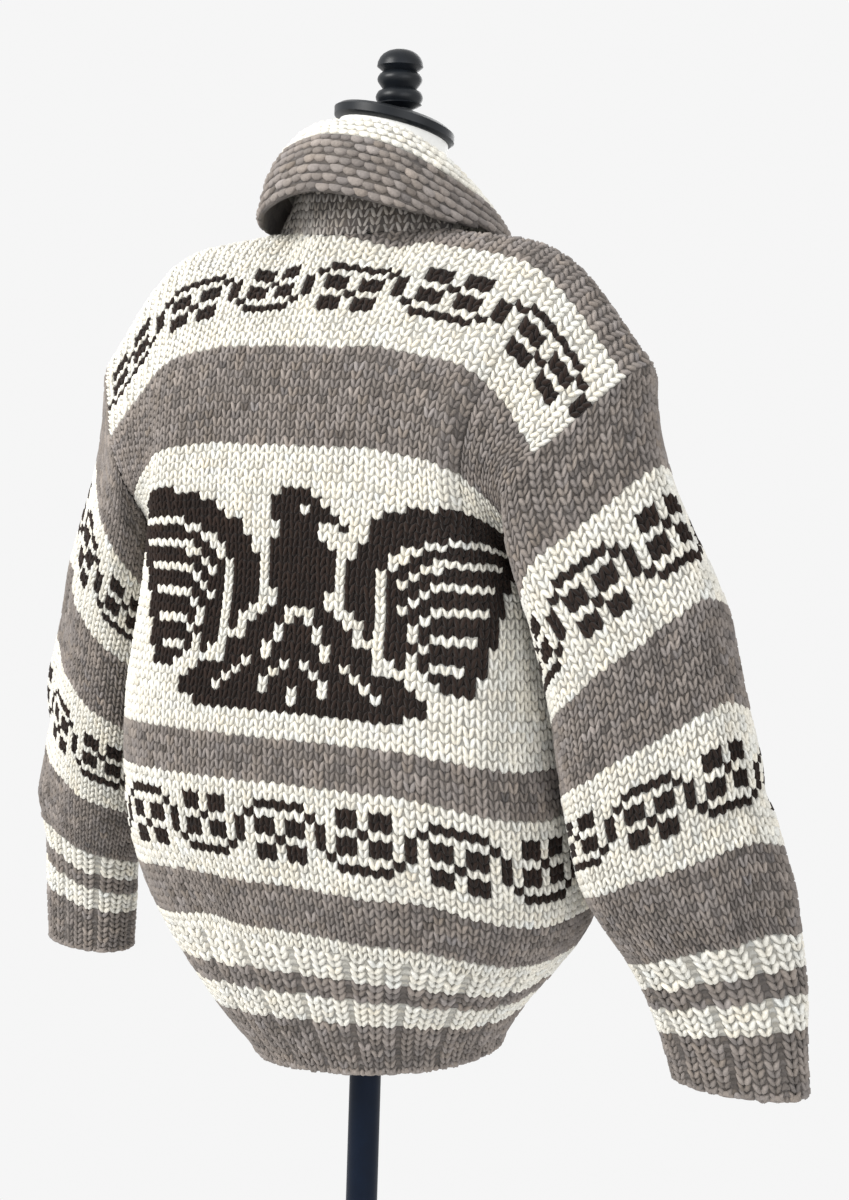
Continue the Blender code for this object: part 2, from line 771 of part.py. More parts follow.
def collar_centre(station):
    """The middle line of the collar's cloth at a station, from its seam over the fold to its edge."""
    side = 1 if station >= 0 else -1
    fx, fy, fr, ex, ey, er = read_table(COLLAR_STATIONS, abs(station))
    outer_seam, inner_seam = neck_seam(station)
    seam = (outer_seam + inner_seam) / 2
    fold = Vector((side * fx, fy, fr + HEM_HEIGHT))
    edge = Vector((side * ex, ey, er + HEM_HEIGHT))
    out = Vector((edge.x - fold.x, edge.y - fold.y, 0.0)).normalized()
    roll = min(8.0, 0.45 * (fold.z - seam.z))
    line = [seam, seam.lerp(fold, 0.45), fold - Vector((0, 0, roll))]
    line.append(fold + out * roll * 0.30 - Vector((0, 0, roll * 0.2)))
    line.append(fold + out * roll * 1.05)
    line.append(fold + out * roll * 2.0 - Vector((0, 0, roll * 0.75)))
    start = line[-1]
    swell = 3.0 + 6.0 * max(0.0, 1 - abs(station) / 0.45)
    for share in (0.33, 0.66, 1.0):
        bulge = swell * math.sin(math.pi * share) * (out + Vector((0, 0, 0.7)))
        line.append(start.lerp(edge, share) + bulge)
    return line


def make_collar(look):
    back_half = even(0, COLLAR_SIDE, COLLAR_BACK_STEPS)
    half = back_half + even(COLLAR_SIDE, 1, COLLAR_FRONT_STEPS)[1:]
    points = []
    rows = []
    for station in [-place for place in reversed(half[1:])] + half:
        line = collar_centre(station)
        sides = []
        for i, p in enumerate(line):
            t = (line[min(i + 1, len(line) - 1)] - line[max(i - 1, 0)]).normalized()
            ahead = collar_centre(min(station + 0.01, 1.0))[i] - collar_centre(max(station - 0.01, -1.0))[i]
            n = t.cross(ahead).normalized()
            sides.append((p + n * COLLAR_WALL / 2, p - n * COLLAR_WALL / 2))
        sides[0] = neck_seam(station)
        section = [a for a, _ in sides] + [b for _, b in reversed(sides)]
        rows.append([len(points) + k for k in range(len(section))])
        points += section
    faces = []
    size = len(rows[0])
    for a, b in zip(rows, rows[1:]):
        for k in range(size):
            m = (k + 1) % size
            faces += [(a[k], a[m], b[m]), (a[k], b[m], b[k])]
    half = size // 2
    for row, flip in ((rows[0], True), (rows[-1], False)):
        for k in range(half - 1):
            pair = [(row[k], row[k + 1], row[size - 2 - k]), (row[k], row[size - 2 - k], row[size - 1 - k])]
            faces += [f[::-1] for f in pair] if flip else pair
    return add_object("collar", points, faces, look, GARMENT_PLACE)


def front_line(up, x, inward):
    """A point beside the middle of the front, moved in from the cloth's outer side."""
    side = 1 if x >= 0 else -1
    base = body_bare("front", 0.0001, up)
    beside = (body_bare("front", side * 0.06, up) - base).normalized()
    n = front_normal(side * 0.03, up)
    return base + beside * abs(x) - n * inward


def make_front_strip(name, ups, x0, x1, near, far, look):
    """A thin strip that follows the front edge, between two widths and two depths."""
    points = []
    for up in ups:
        points += [front_line(up, x0, near), front_line(up, x1, near)]
        points += [front_line(up, x1, far), front_line(up, x0, far)]
    faces = []
    for k in range(len(ups) - 1):
        for m in range(4):
            a, b = 4 * k + m, 4 * k + (m + 1) % 4
            faces += [(a, b, b + 4), (a, b + 4, a + 4)]
    last = 4 * (len(ups) - 1)
    faces += [(0, 2, 1), (0, 3, 2), (last, last + 1, last + 2), (last, last + 2, last + 3)]
    return add_object(name, points, faces, look, GARMENT_PLACE)


def turned_object(name, profile, look, sides, centre=(0.0, 0.0), foot=None):
    """A solid turned from (radius, z) pairs, bottom to top, with closed ends."""
    points = []
    for radius, z in profile:
        for k in range(sides):
            a = 2 * math.pi * k / sides
            points.append([centre[0] + radius * math.cos(a), centre[1] + radius * math.sin(a), z])
    if foot:
        for p in points[:sides]:
            p[2] = foot(p[0], p[1])
    faces = []
    for r in range(len(profile) - 1):
        for k in range(sides):
            a, b = r * sides + k, r * sides + (k + 1) % sides
            faces += [(a, b, b + sides), (a, b + sides, a + sides)]
    last = (len(profile) - 1) * sides
    faces.append(tuple(reversed(range(sides))))
    faces.append(tuple(range(last, last + sides)))
    return add_object(name, points, faces, look)


def cap_height(x, y):
    """The sloping plane between the neck and its cap."""
    return HEM_HEIGHT + NECK_TOP_RISE + CAP_SLOPE_X * x + CAP_SLOPE_Y * y


def cloth_reach(panels, centre, direction):
    """How far the cloth is from a point inside it, level and outward."""
    reaches = [tree.ray_cast(centre * MM, direction)[3] for tree in panels]
    return min([reach / MM for reach in reaches if reach is not None], default=math.inf)


def cloth_trees(names):
    trees = []
    for name in names:
        source = bpy.data.objects[name]
        points = [v.co + source.location for v in source.data.vertices]
        trees.append(BVHTree.FromPolygons(points, [tuple(p.vertices) for p in source.data.polygons]))
    return trees


def lift_shoulders(points, panels):
    """Raises the form's shoulders and lower neck until they all but touch the cloth."""
    raised = [k for k, p in enumerate(points) if p.z > HEM_HEIGHT + SHOULDER_RISE]
    gap = 2 * FORM_GAP
    while gap > FORM_GAP:
        for k in raised:
            points[k].z += LIFT_STEP
        gap = min(tree.find_nearest(points[k] * MM)[3] for k in raised for tree in panels) / MM


def make_form(look):
    """The limbless body, close under the cloth at the shoulders, with a neck cut by the cap's plane."""
    panels = cloth_trees(("back", "front_left", "front_right", "collar"))
    points = []
    rows = []
    for rise, width, depth, shift_x, shift_y, square in FORM_RINGS:
        row = []
        for k in range(FORM_SIDES):
            a = 2 * math.pi * k / FORM_SIDES
            x = math.copysign(width * abs(math.cos(a)) ** (2 / square), math.cos(a))
            y = math.copysign(depth * abs(math.sin(a)) ** (2 / square), math.sin(a))
            row.append(len(points))
            centre = Vector((shift_x, shift_y, rise + HEM_HEIGHT))
            out = Vector((x, y, 0.0))
            reach = cloth_reach(panels, centre, out.normalized()) - FORM_GAP
            points.append(centre + out.normalized() * min(out.length, reach))
        rows.append(row)
    lift_shoulders(points, panels)
    row = []
    for k in range(FORM_SIDES):
        a = 2 * math.pi * k / FORM_SIDES
        x, y = NECK_RADIUS * math.cos(a), NECK_RADIUS * math.sin(a)
        row.append(len(points))
        points.append((x, y, cap_height(x, y)))
    rows.append(row)
    faces = [tuple(reversed(rows[0])), tuple(rows[-1])]
    for a, b in zip(rows, rows[1:]):
        for k in range(FORM_SIDES):
            m = (k + 1) % FORM_SIDES
            faces += [(a[k], a[m], b[m]), (a[k], b[m], b[k])]
    return add_object("form_torso", points, faces, look)


def make_cap(look):
    """A round cap with soft edges, lying on the sloping neck."""
    profile = ((CAP_RADIUS - 3, 0.0), (CAP_RADIUS, 2.5), (CAP_RADIUS, CAP_THICKNESS - 3))
    profile += ((CAP_RADIUS - 4, CAP_THICKNESS),)
    made = turned_object("neck_cap", profile, look, 40)
    for v in made.data.vertices:
        v.co.z += (cap_height(v.co.x / MM, v.co.y / MM) + SEAT_GAP) * MM
    return made


def make_finial(look):
    top = cap_height(0, 0) + CAP_THICKNESS + SEAT_GAP

    def foot(x, y):
        return cap_height(x, y) + CAP_THICKNESS + 2 * SEAT_GAP

    profile = [(12.0, top), (12.0, top + 8.0), (19.5, top + 12.0)]
    for start, radius, height in ((top + 12.0, 20.5, 12.0), (top + 28.0, 19.5, 11.0)):
        for k in range(5):
            a = math.pi * k / 4
            profile.append((radius - 2.0 + 2.0 * math.sin(a), start + height * (k + 0.5) / 5))
        profile.append((14.5, start + height + 1.0))
    dome = top + 42.5
    for k in range(6):
        a = math.pi / 2 * k / 6
        profile.append((20.0 * math.cos(a) ** 0.8, dome + 2.0 + 15.0 * math.sin(a)))
    return turned_object("finial", profile, look, 24, centre=FINIAL_CENTRE, foot=foot)


def make_stand(dark):
    torso_foot = HEM_HEIGHT + FORM_RINGS[0][0]
    profile = ((BASE_RADIUS - 2, 0.0), (BASE_RADIUS, 2.0), (BASE_RADIUS, BASE_HEIGHT * 0.45))
    profile += ((BASE_RADIUS - 8, BASE_HEIGHT * 0.7), (60.0, BASE_HEIGHT - 2), (20.0, BASE_HEIGHT))
    turned_object("base", profile, dark, 48)
    pole = ((POLE_RADIUS, BASE_HEIGHT + SEAT_GAP), (POLE_RADIUS, torso_foot - SEAT_GAP))
    turned_object("pole", pole, dark, 24)


def make_zip(tape_look, chain_look):
    """Two tapes behind the front edges and the closed chain between them."""
    ups = [front_up(0.01, level) for level in INNER_LEVELS]
    tape_ups = [ups[0] + 0.004] + ups[1:-3]
    chain_ups = tape_ups[:-1]
    behind = WALL + TAPE_GAP
    for name, side in (("zip_tape_left", 1), ("zip_tape_right", -1)):
        x0, x1 = sorted((side * SEAM_GAP, side * TAPE_WIDTH))
        make_front_strip(name, tape_ups, x0, x1, behind, behind + TAPE_THICKNESS, tape_look)
    near = behind - SEAM_GAP - CHAIN_DEPTH
    make_front_strip("zip_chain", chain_ups, -CHAIN_HALF, CHAIN_HALF, near, behind - SEAM_GAP, chain_look)


def zip_axes(up):
    """A point on the chain's front face with the directions along the zip and out of it."""
    inward = WALL + TAPE_GAP - SEAM_GAP - CHAIN_DEPTH
    here, above = front_line(up, 0.0001, inward), front_line(up + 0.01, 0.0001, inward)
    along_zip = Vector((0.0, above.y - here.y, above.z - here.z)).normalized()
    return here, along_zip, Vector((1, 0, 0)).cross(along_zip)


def extruded(name, loops, near, far, place_at, look, place=GARMENT_PLACE):
    """A plate between two depths from an outline and its holes, put in place by place_at."""
    flat = [Vector((a, b, 0.0)) for loop in loops for a, b in loop]
    points = [place_at(p.x, p.y, depth) for depth in (near, far) for p in flat]
    size = len(flat)
    faces = []
    for a, b, c in tessellate_polygon([[Vector((p, q, 0.0)) for p, q in loop] for loop in loops]):
        if (flat[b] - flat[a]).cross(flat[c] - flat[a]).z < 0:
            b, c = c, b
        faces += [(a, c, b), (a + size, b + size, c + size)]
    start = 0
    for loop in loops:
        for k in range(len(loop)):
            a, b = start + k, start + (k + 1) % len(loop)
            faces.append((a, b, b + size, a + size))
        start += len(loop)
    return add_object(name, points, faces, look, place)


def make_zip_end(look):
    """The stop at the foot of the chain."""
    here, along_zip, out = zip_axes(ZIP_END_UP)
    outline = ((-END_HALF, -END_LONG), (END_HALF, -END_LONG), (END_HALF, END_LONG), (-END_HALF, END_LONG))

    def place_at(a, b, depth):
        return here + Vector((a, 0, 0)) + along_zip * b + out * depth

    extruded("zip_end", (outline,), 2 * SEAM_GAP, 2 * SEAM_GAP + END_THICKNESS, place_at, look)


def make_zip_slider(look):
    """The slider's body in the gap between the fronts, with the bridge that holds the pull tab."""
    here, along_zip, out = zip_axes(SLIDER_UP)
    back = here - out * CHAIN_DEPTH
    half, leg, hole = SLIDER_LONG / 2, BRIDGE_LONG / 2, BRIDGE_LONG / 2 - BRIDGE_THICKNESS
    body, top = SLIDER_BODY, PIN_HEIGHT + BRIDGE_CLEAR + BRIDGE_THICKNESS
    outline = ((-half, 0), (half, 0), (half, body - 0.8), (half - 0.8, body), (leg, body), (leg, top - 1.2))
    outline += ((leg - 1.2, top), (1.2 - leg, top), (-leg, top - 1.2), (-leg, body), (0.8 - half, body))
    outline += ((-half, body - 0.8),)
    low, high = PIN_HEIGHT - BRIDGE_CLEAR, PIN_HEIGHT + BRIDGE_CLEAR
    window = ((-hole, low), (-hole, high), (hole, high), (hole, low))

    def place_at(a, b, depth):
        return back + along_zip * a + out * b + Vector((depth, 0, 0))

    extruded("zip_slider", (outline, window), -BRIDGE_HALF, BRIDGE_HALF, place_at, look)


def make_zip_pull(look):
    """The pull tab, whose cross bar turns under the slider's bridge. Its origin is on that axis."""
    here, along_zip, out = zip_axes(SLIDER_UP)
    pivot = here + out * (PIN_HEIGHT - CHAIN_DEPTH) + Vector(GARMENT_PLACE)
    bar, eye, arm = PULL_THICKNESS / 2, EYE_LONG, EYE_HALF + PULL_ARM
    outline = ((-arm, bar), (-arm, -eye - 2), (-PULL_WAIST, -eye - 5), (-PULL_WAIST, -PULL_LONG + 6))
    outline += ((-arm, -PULL_LONG + 2), (-arm + 2, -PULL_LONG), (arm - 2, -PULL_LONG), (arm, -PULL_LONG + 2))
    outline += ((PULL_WAIST, -PULL_LONG + 6), (PULL_WAIST, -eye - 5), (arm, -eye - 2), (arm, bar))
    window = ((-EYE_HALF, -bar), (EYE_HALF, -bar), (EYE_HALF, -eye), (-EYE_HALF, -eye))

    def place_at(a, b, depth):
        return Vector((a, 0, 0)) + along_zip * b + out * depth

    extruded("zip_pull", (outline, window), -bar, bar, place_at, look, place=pivot)
    print("zip pull axis through", [round(c * MM, 6) for c in pivot])


def main():
    clear_scene()
    knit = material("undyed grey and cream wool", (0.42, 0.37, 0.33), 0.95)
    white = material("smooth white form", (0.86, 0.86, 0.84), 0.45)
    black = material("black turned wood", (0.02, 0.02, 0.022), 0.4)
    navy = material("dark painted steel", (0.02, 0.03, 0.06), 0.4, 0.3)
    tape = material("grey woven tape", (0.30, 0.27, 0.25), 0.9)
    brass = material("zip metal", (0.45, 0.42, 0.38), 0.35, 1.0)
    make_back(knit)
    make_front("front_left", 1, knit)
    make_front("front_right", -1, knit)
    make_sleeve("sleeve_left", 1, knit)
    make_sleeve("sleeve_right", -1, knit)
    make_collar(knit)
    make_zip(tape, brass)
    make_zip_end(brass)
    make_zip_slider(brass)
    make_zip_pull(brass)
    make_form(white)
    make_cap(black)
    make_finial(black)
    make_stand(navy)


main()
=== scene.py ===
"""Looks for the cowichan sweater on its dress form: stitches, colour work, zip, form, stand and studio.

Front is -Y, the wearer's right is -X. Garment tables are in millimetres over the hem, as in the CAD.
"""

import math
from functools import lru_cache

import bmesh
import bpy
import numpy as np
from mathutils import Matrix, Vector


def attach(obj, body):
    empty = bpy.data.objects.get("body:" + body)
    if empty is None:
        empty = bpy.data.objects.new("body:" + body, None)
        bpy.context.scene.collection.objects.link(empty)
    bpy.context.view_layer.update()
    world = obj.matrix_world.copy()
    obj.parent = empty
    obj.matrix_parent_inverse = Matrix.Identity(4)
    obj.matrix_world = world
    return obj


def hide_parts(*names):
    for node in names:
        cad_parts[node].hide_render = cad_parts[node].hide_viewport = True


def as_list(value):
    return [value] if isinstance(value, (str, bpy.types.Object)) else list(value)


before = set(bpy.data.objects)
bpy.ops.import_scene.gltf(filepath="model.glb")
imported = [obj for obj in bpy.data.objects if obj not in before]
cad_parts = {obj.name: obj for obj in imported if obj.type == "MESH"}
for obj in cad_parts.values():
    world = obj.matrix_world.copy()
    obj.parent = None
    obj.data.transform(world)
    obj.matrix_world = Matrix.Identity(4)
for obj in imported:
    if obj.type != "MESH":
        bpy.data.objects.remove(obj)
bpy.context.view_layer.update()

MM = 0.001
BODY = "garment_and_form"

# The garment's own sizes, as in the CAD
HEM_HEIGHT = 660.0
GARMENT_PLACE = Vector((7.0, 4.0, 0.0))
WALL = 5.0
UNDERARM_RISE = 395.0
UNDERARM_LEVEL = 0.56
CUFF_RISE = 29.0
HEM_RISE = 5.0
HEM_TILT = (-0.13, -0.03)
HEM_TILT_REACH = 170.0
NECK_SIDE = 1 / 3
NECK_FRONT_LEVEL = 0.52
NECK_CURVE = 0.8
NECK_BEND = 0.2
STRAIGHT_ON = 0.6
KNOT_BELOW = 100.0
RING_STEPS = 96
COLUMN_STEPS = 40
YOKE_STEPS = 12
SLEEVE_STEPS = 48
# Steps for reading the neck's edge and the cloth's outward direction, in shares of a half panel
NORMAL_STEP = 0.004
RIM_STEP = 0.01
LEAST_SHARE = 0.001
NECK_COLUMNS = 12
FRONT_START = 0.02
FRONT_GAP = 3.6
FRONT_EDGE_TOP = 0.8
NEAR_MIDDLE = 0.0001
RIB_STITCHES = 4
RIB_DEPTH = 2.2
RIB_CROWN = 0.35
RIB_CROWN_SHARE = 0.74
KNIT_SHARE = 0.75
KNIT_WIDTH = 0.89

BODY_RINGS = (
    # rise, half_width, half_depth, shift_x, shift_y, square
    (0, 109, 80, -14, -14, 2.2),
    (12, 113, 83, -13, -12, 2.2),
    (40, 134, 93, -10, -6, 2.3),
    (80, 164, 108, -9, 0, 2.4),
    (120, 191, 122, -8, 5, 2.5),
    (160, 205, 132, -6, 9, 2.6),
    (210, 207, 138, -3, 14, 2.7),
    (300, 203, 138, 0, 17, 2.8),
    (395, 196, 132, 0, 12, 2.8),
)
BACK_YOKE = (
    # x, y, rise at the middle, one third, two thirds and the armhole
    ((0, 141, 502), (74, 138, 500), (144, 126, 494), (183, 115, 484)),
    ((0, 126, 608), (77, 120, 604), (154, 106, 582), (222, 90, 538)),
    ((0, 78, 693), (86, 30, 700), (188, 32, 677), (264, 28, 590)),
)
FRONT_YOKE = (
    # columns as for the back
    ((0, -116, 500), (74, -114, 499), (146, -102, 494), (192, -82, 478)),
    ((0, -104, 604), (78, -97, 602), (156, -78, 582), (222, -68, 536)),
    ((0, -46, 693), (86, 30, 700), (188, 32, 677), (264, 28, 590)),
)
SLEEVE_CUTS = (
    # rise, centre_x, centre_y, half_long, half_short, turn
    (20, 331, -40, 52, 30, 10),
    (70, 326, -31, 57, 32, 14),
    (120, 319, -20, 67, 37, 28),
    (180, 301, 0, 81, 45, 36),
    (240, 289, 9, 82, 47, 38),
    (340, 270, 16, 79, 49, 40),
    (395, 256, 18, 78, 55, 44),
    (480, 227, 16, 80, 66, 48),
    (580, 200, 14, 76, 72, 50),
)
# How far back a sleeve swings and how full it is, at the wearer's left (1) and right (-1)
SLEEVE_SWING = {1: (-6.0, 0.92), -1: (13.0, 1.0)}
SLEEVE_BLEND = 0.34
SLEEVE_CLEAR = 2.5
CLEAR_REACH = 0.12
SLEEVE_SQUARE = 2.3
BACK_FOLDS = (
    # across, along, half_across, half_along, depth
    (-0.62, 0.68, 0.11, 0.18, 5.0),
    (-0.84, 0.62, 0.10, 0.18, -7.0),
    (0.78, 0.64, 0.10, 0.16, -5.0),
    (0.55, 0.72, 0.12, 0.15, 3.0),
    (-0.30, 0.26, 0.12, 0.09, 4.0),
    (0.35, 0.22, 0.14, 0.08, -4.0),
    (0.10, 0.36, 0.16, 0.10, 3.0),
    # sharper creases that the solids leave out
    (-0.62, 0.69, 0.045, 0.17, 3.4),
    (-0.71, 0.67, 0.035, 0.18, -5.0),
    (0.70, 0.62, 0.035, 0.12, -3.4),
    (0.30, 0.20, 0.10, 0.030, -2.6),
    (-0.45, 0.24, 0.12, 0.030, -2.4),
)
FRONT_FOLDS = (
    # columns as for the back, across from the zip
    (0.76, 0.63, 0.08, 0.16, -5.0),
    (0.50, 0.30, 0.14, 0.10, 4.0),
    (0.30, 0.50, 0.14, 0.12, -3.0),
    # sharper creases
    (0.68, 0.66, 0.035, 0.15, -4.0),
    (0.40, 0.22, 0.12, 0.030, -2.6),
)
SLEEVE_FOLDS = (
    # around, down, half_around, half_down, depth
    (0.22, 0.30, 0.06, 0.10, -5.0),
    (0.10, 0.52, 0.07, 0.08, 4.0),
    (0.20, 0.72, 0.08, 0.06, 5.0),
    (-0.22, 0.42, 0.07, 0.10, -4.0),
    (-0.12, 0.70, 0.08, 0.07, 4.0),
    # sharper creases
    (0.34, 0.26, 0.035, 0.12, -3.2),
    (0.10, 0.60, 0.12, 0.022, -2.6),
    (-0.20, 0.56, 0.10, 0.022, -2.6),
    (0.05, 0.74, 0.14, 0.018, -2.6),
)
COLLAR_STATIONS = (
    # along, fold_x, fold_y, fold_rise, edge_x, edge_y, edge_rise
    (0.00, 0, 58, 789, 0, 112, 724),
    (0.18, 36, 50, 784, 56, 94, 714),
    (0.36, 60, 22, 766, 91, 50, 704),
    (0.52, 66, -14, 745, 108, -6, 698),
    (0.70, 60, -56, 720, 104, -60, 674),
    (0.86, 38, -94, 668, 78, -102, 630),
    (1.00, 14, -120, 602, 42, -123, 580),
)
WHOLE_COLLAR = (
    *((-row[0], -row[1], row[2], row[3], -row[4], row[5], row[6]) for row in COLLAR_STATIONS[:0:-1]),
    *COLLAR_STATIONS,
)
COLLAR_SIDE = 0.42
COLLAR_SEAM_GAP = 0.7
ROLL_HEIGHT = 8.0
ROLL_SHARE = 0.45
STAND_MIDDLE = 0.45
ROLL_KNOTS = (
    # outward and down from the fold, in heights of the roll
    (0.30, 0.2),
    (1.05, 0.0),
    (2.0, 0.75),
)
FALL_SWELL = 3.0
BACK_SWELL = 6.0
BACK_SWELL_REACH = 0.45
SWELL_RISE = 0.7
FALL_SHARES = (0.33, 0.66, 1.0)
COLLAR_LINE_STEPS = 4
# The point of a collar line where its stand ends and its fall starts
FOLD_POINT = 14

# Rows and stitches
BODY_ROWS = 106
SHOULDER_ROWS = 5
SHOULDER_REACH = 0.36
ARMHOLE_ROWS = 16
RIB_ROWS = 19
HALF_STITCHES = 31
HALF_YOKE_STITCHES = 24
HALF_RIB_STITCHES = 20
SLEEVE_ROWS = 80
SLEEVE_STITCHES = 52
CUFF_STITCHES = 28
PANEL_PARTS = (
    # first row, last row, stitches on half the back
    (0, RIB_ROWS, HALF_RIB_STITCHES),
    (RIB_ROWS, BODY_ROWS + SHOULDER_ROWS, HALF_STITCHES),
)
SLEEVE_PARTS = (
    # first row, last row, stitches round the sleeve
    (0, RIB_ROWS, CUFF_STITCHES),
    (RIB_ROWS, SLEEVE_ROWS, SLEEVE_STITCHES),
)
COLLAR_STITCHES = 62
STAND_STITCHES = 44
COLLAR_ROW = 7.9
COLLAR_STAND_ROWS = 13
COLLAR_FALL_ROWS = 13
COLLAR_CREAM_ROWS = 4
COLLAR_CREAM_INSIDE = 3
STAND_TOP = 0.9
STAND_ROW = 7.2
STAND_ROWS = 7
STITCH_SINK = 1.5
BACKING_SINK = 1.3
BACKING_DEPTH = 3.5
# Painted shade: the backing between the stitches is darkened to this share of its yarn's colour.
BACKING_PAINTED_SHADE = 0.42
# Painted shade: each stitch is darkened to this share of its colour at its sunken foot.
STITCH_FOOT_PAINTED_SHADE = 0.62
CREASE_DEPTH = 1.5
FOLD_FADE = 0.06
SEAM_FADE = 0.02
EDGE_KEPT = 0.35
# Painted shade: purl stitches in the valleys of the ribs are darkened to this share of their colour.
VALLEY_PAINTED_SHADE = 0.55
CAST_ON_ROW = -0.45
SIDE_SAG = 0.03
SAG_START = 0.35
SAG_REACH = 0.5

# Rows of a field that show which way is out
LOW_ROWS = slice(0, 12)
HIGH_ROWS = slice(-6, None)

# One leg of a V stitch, in shares of its cell, with heights in millimetres
LEG_FOOT = 0.045
LEG_LEAN = 0.39
LEG_START = -0.44
LEG_LENGTH = 1.58
LEG_RADIUS = 0.235
LEG_TWIST = 0.02
LEG_THICK = 2.4
LEG_SINK = 1.2
LEG_ARCH = 2.1
LEG_ARCH_START = 0.10
LEG_ARCH_SPAN = 0.82
# A purl bump, in the same measures
BUMP_HALF_WIDTH = 0.62
BUMP_MIDDLE = 0.32
BUMP_ROW_RADIUS = 0.46
BUMP_ARCH = 0.26
BUMP_SWELL = 1.5
BUMP_SINK = 0.4
BUMP_THICK = 3.1
# How much stitches differ from one another
SIZE_SPREAD = 0.06
LEAN_SPREAD = 0.035
ROW_SPREAD = 0.05
OUT_SPREAD = 0.16
RED_SPREAD = 0.012
BLUE_SPREAD = 0.020
LEAST_LIGHT = 0.004
# How quickly the painted shade at a stitch's foot gives way up the stitch.
FOOT_PAINTED_SHADE_FADE = 1.4

# Undyed wool, in linear light. pale is not a yarn of its own: it is the grey made lighter as painted light,
# for the collar's stand, which lies in shade under the collar.
YARNS = {
    "cream": (0.75, 0.727, 0.657),
    "grey": (0.225, 0.198, 0.180),
    "pale": (0.36, 0.33, 0.30),
    "dark": (0.019, 0.011, 0.008),
}
HEATHER = {"cream": 0.04, "grey": 0.15, "pale": 0.12, "dark": 0.14}

# Depth of bump, in metres, and its strength in wool
GRAIN_HEIGHT = 0.0006
FIBRE_HEIGHT = 0.0008
FIBRE_BUMP = 0.55

# Stripes from the hem up: yarn and rows. The words are the yarn or the design worked there.
BODY_STRIPES = (
    ("grey", 8), ("cream", 4), ("grey", 3), ("cream", 6), ("grey", 6), ("cream", 3), ("band low", 7),
    ("cream", 2), ("grey", 5), ("cream", 3), ("bird", 26), ("cream", 5), ("grey", 12), ("cream", 5),
    ("band high", 7), ("cream", 4), ("grey", 5),
)
SLEEVE_STRIPES = (
    ("grey", 8), ("cream", 4), ("grey", 3), ("cream", 4), ("grey", 10), ("cream", 4), ("band cuff", 7),
    ("cream", 4), ("grey", 11), ("cream", 4), ("band arm", 7), ("cream", 3), ("grey", 11),
)
# Cups and arches turn about along the band, sixteen stitches to a repeat, top row first
BAND_CHART = (
    "..XX.XX...XXXXX.",
    "..XX.XX..X.....X",
    "X...X...X.XX.XX.",
    "X.XX.XX.X.XX.XX.",
    "X.XX.XX.X...X...",
    ".X.....X..XX.XX.",
    "..XXXXX...XX.XX.",
)
# Where the middle of one cup lies: across the body, or round a sleeve
CUP_PLACE = {"band low": -0.30, "band high": 0.20, "band cuff": 0.075, "band arm": 0.05}
CUP_COLUMN = 4.5
# A spread bird charted afresh for the back: one wing, the body, and the other wing. Top row first.
BIRD_CHART = (
    "XXXXXXXX............XXX............XXXXXXXX",
    "XXXXXXXXXXX........XXXXX........XXXXXXXXXXX",
    "XXXXXXXXXXXXX......XXX.XX.....XXXXXXXXXXXXX",
    "XXXXXXXXXXXXXX.....XXXXXXX...XXXXXXXXXXXXXX",
    "........XXXXXXX....XXXX..X..XXXXXXX........",
    "XXXXXXXX..XXXXX....XXXX.....XXXXX..XXXXXXXX",
    "XXXXXXXXXX..XXXX..XXXXXX...XXXX..XXXXXXXXXX",
    "XX.......XX..XXX..XXXXXXX..XXX..XX.......XX",
    "XXXXXXXX..XX.XXXX.XXXXXXX.XXXX.XX..XXXXXXXX",
    ".XXXXXXXXX.XX.XXX.XXXXXXX.XXX.XX.XXXXXXXXX.",
    ".XX......XX.X.XXX.XXXXXXX.XXX.X.XX......XX.",
    "..XXXXXXX.XXX.XXX.XXXXXXX.XXX.XXX.XXXXXXX..",
    "..XXXXXXXX.XX.XXX..XXXXX..XXX.XX.XXXXXXXX..",
    "..XX.....XX.X.XXX..XXXXX..XXX.X.XX.....XX..",
    "...XXXXXX.XXX.XX..XX...XX..XX.XXX.XXXXXX...",
    "...XXXXXXX.XX.X..XXX.X.XXX..X.XX.XXXXXXX...",
    "...XX....X.XX.X.XXX.XXX.XXX.X.XX.X....XX...",
    "....XXXXX.XXX...XXX.XXX.XXX...XXX.XXXXX....",
    "....XXXXXX.XX.XXXX.XXXXX.XXXX.XX.XXXXXX....",
    "....XX...X.X..XXXX.XXXXX.XXXX..X.X...XX....",
    ".....XXXX.....XX.XXX.X.XXX.XX.....XXXX.....",
    ".....XXX...XXXX.XXX.XXX.XXX.XXXX...XXX.....",
    "..........XXXX.XXX.XXXXX.XXX.XXXX..........",
    ".........XXXX.XXXX.XX.XX.XXXX.XXXX.........",
    ".........XXXXXXXXXXXX.XXXXXXXXXXXX.........",
    "...........XXXXXXXXXXXXXXXXXXXXX...........",
)
BIRD_PLACE = -0.075

# Zip, in millimetres and in shares of a column
ZIP_START = 0.012
ZIP_STOP = 0.715
BESIDE_ZIP = 0.06
TOOTH_DEPTH = 4.1
TOOTH_PITCH = 2.6
TOOTH_FILL = 0.9
TOOTH_OFFSET = 0.75
TOOTH_WIDTH = 3.9
TOOTH_HEIGHT = 2.2
TOOTH_BEVEL = 0.16
ZIP_STEPS = 240
SHARP_ANGLE = 38.0

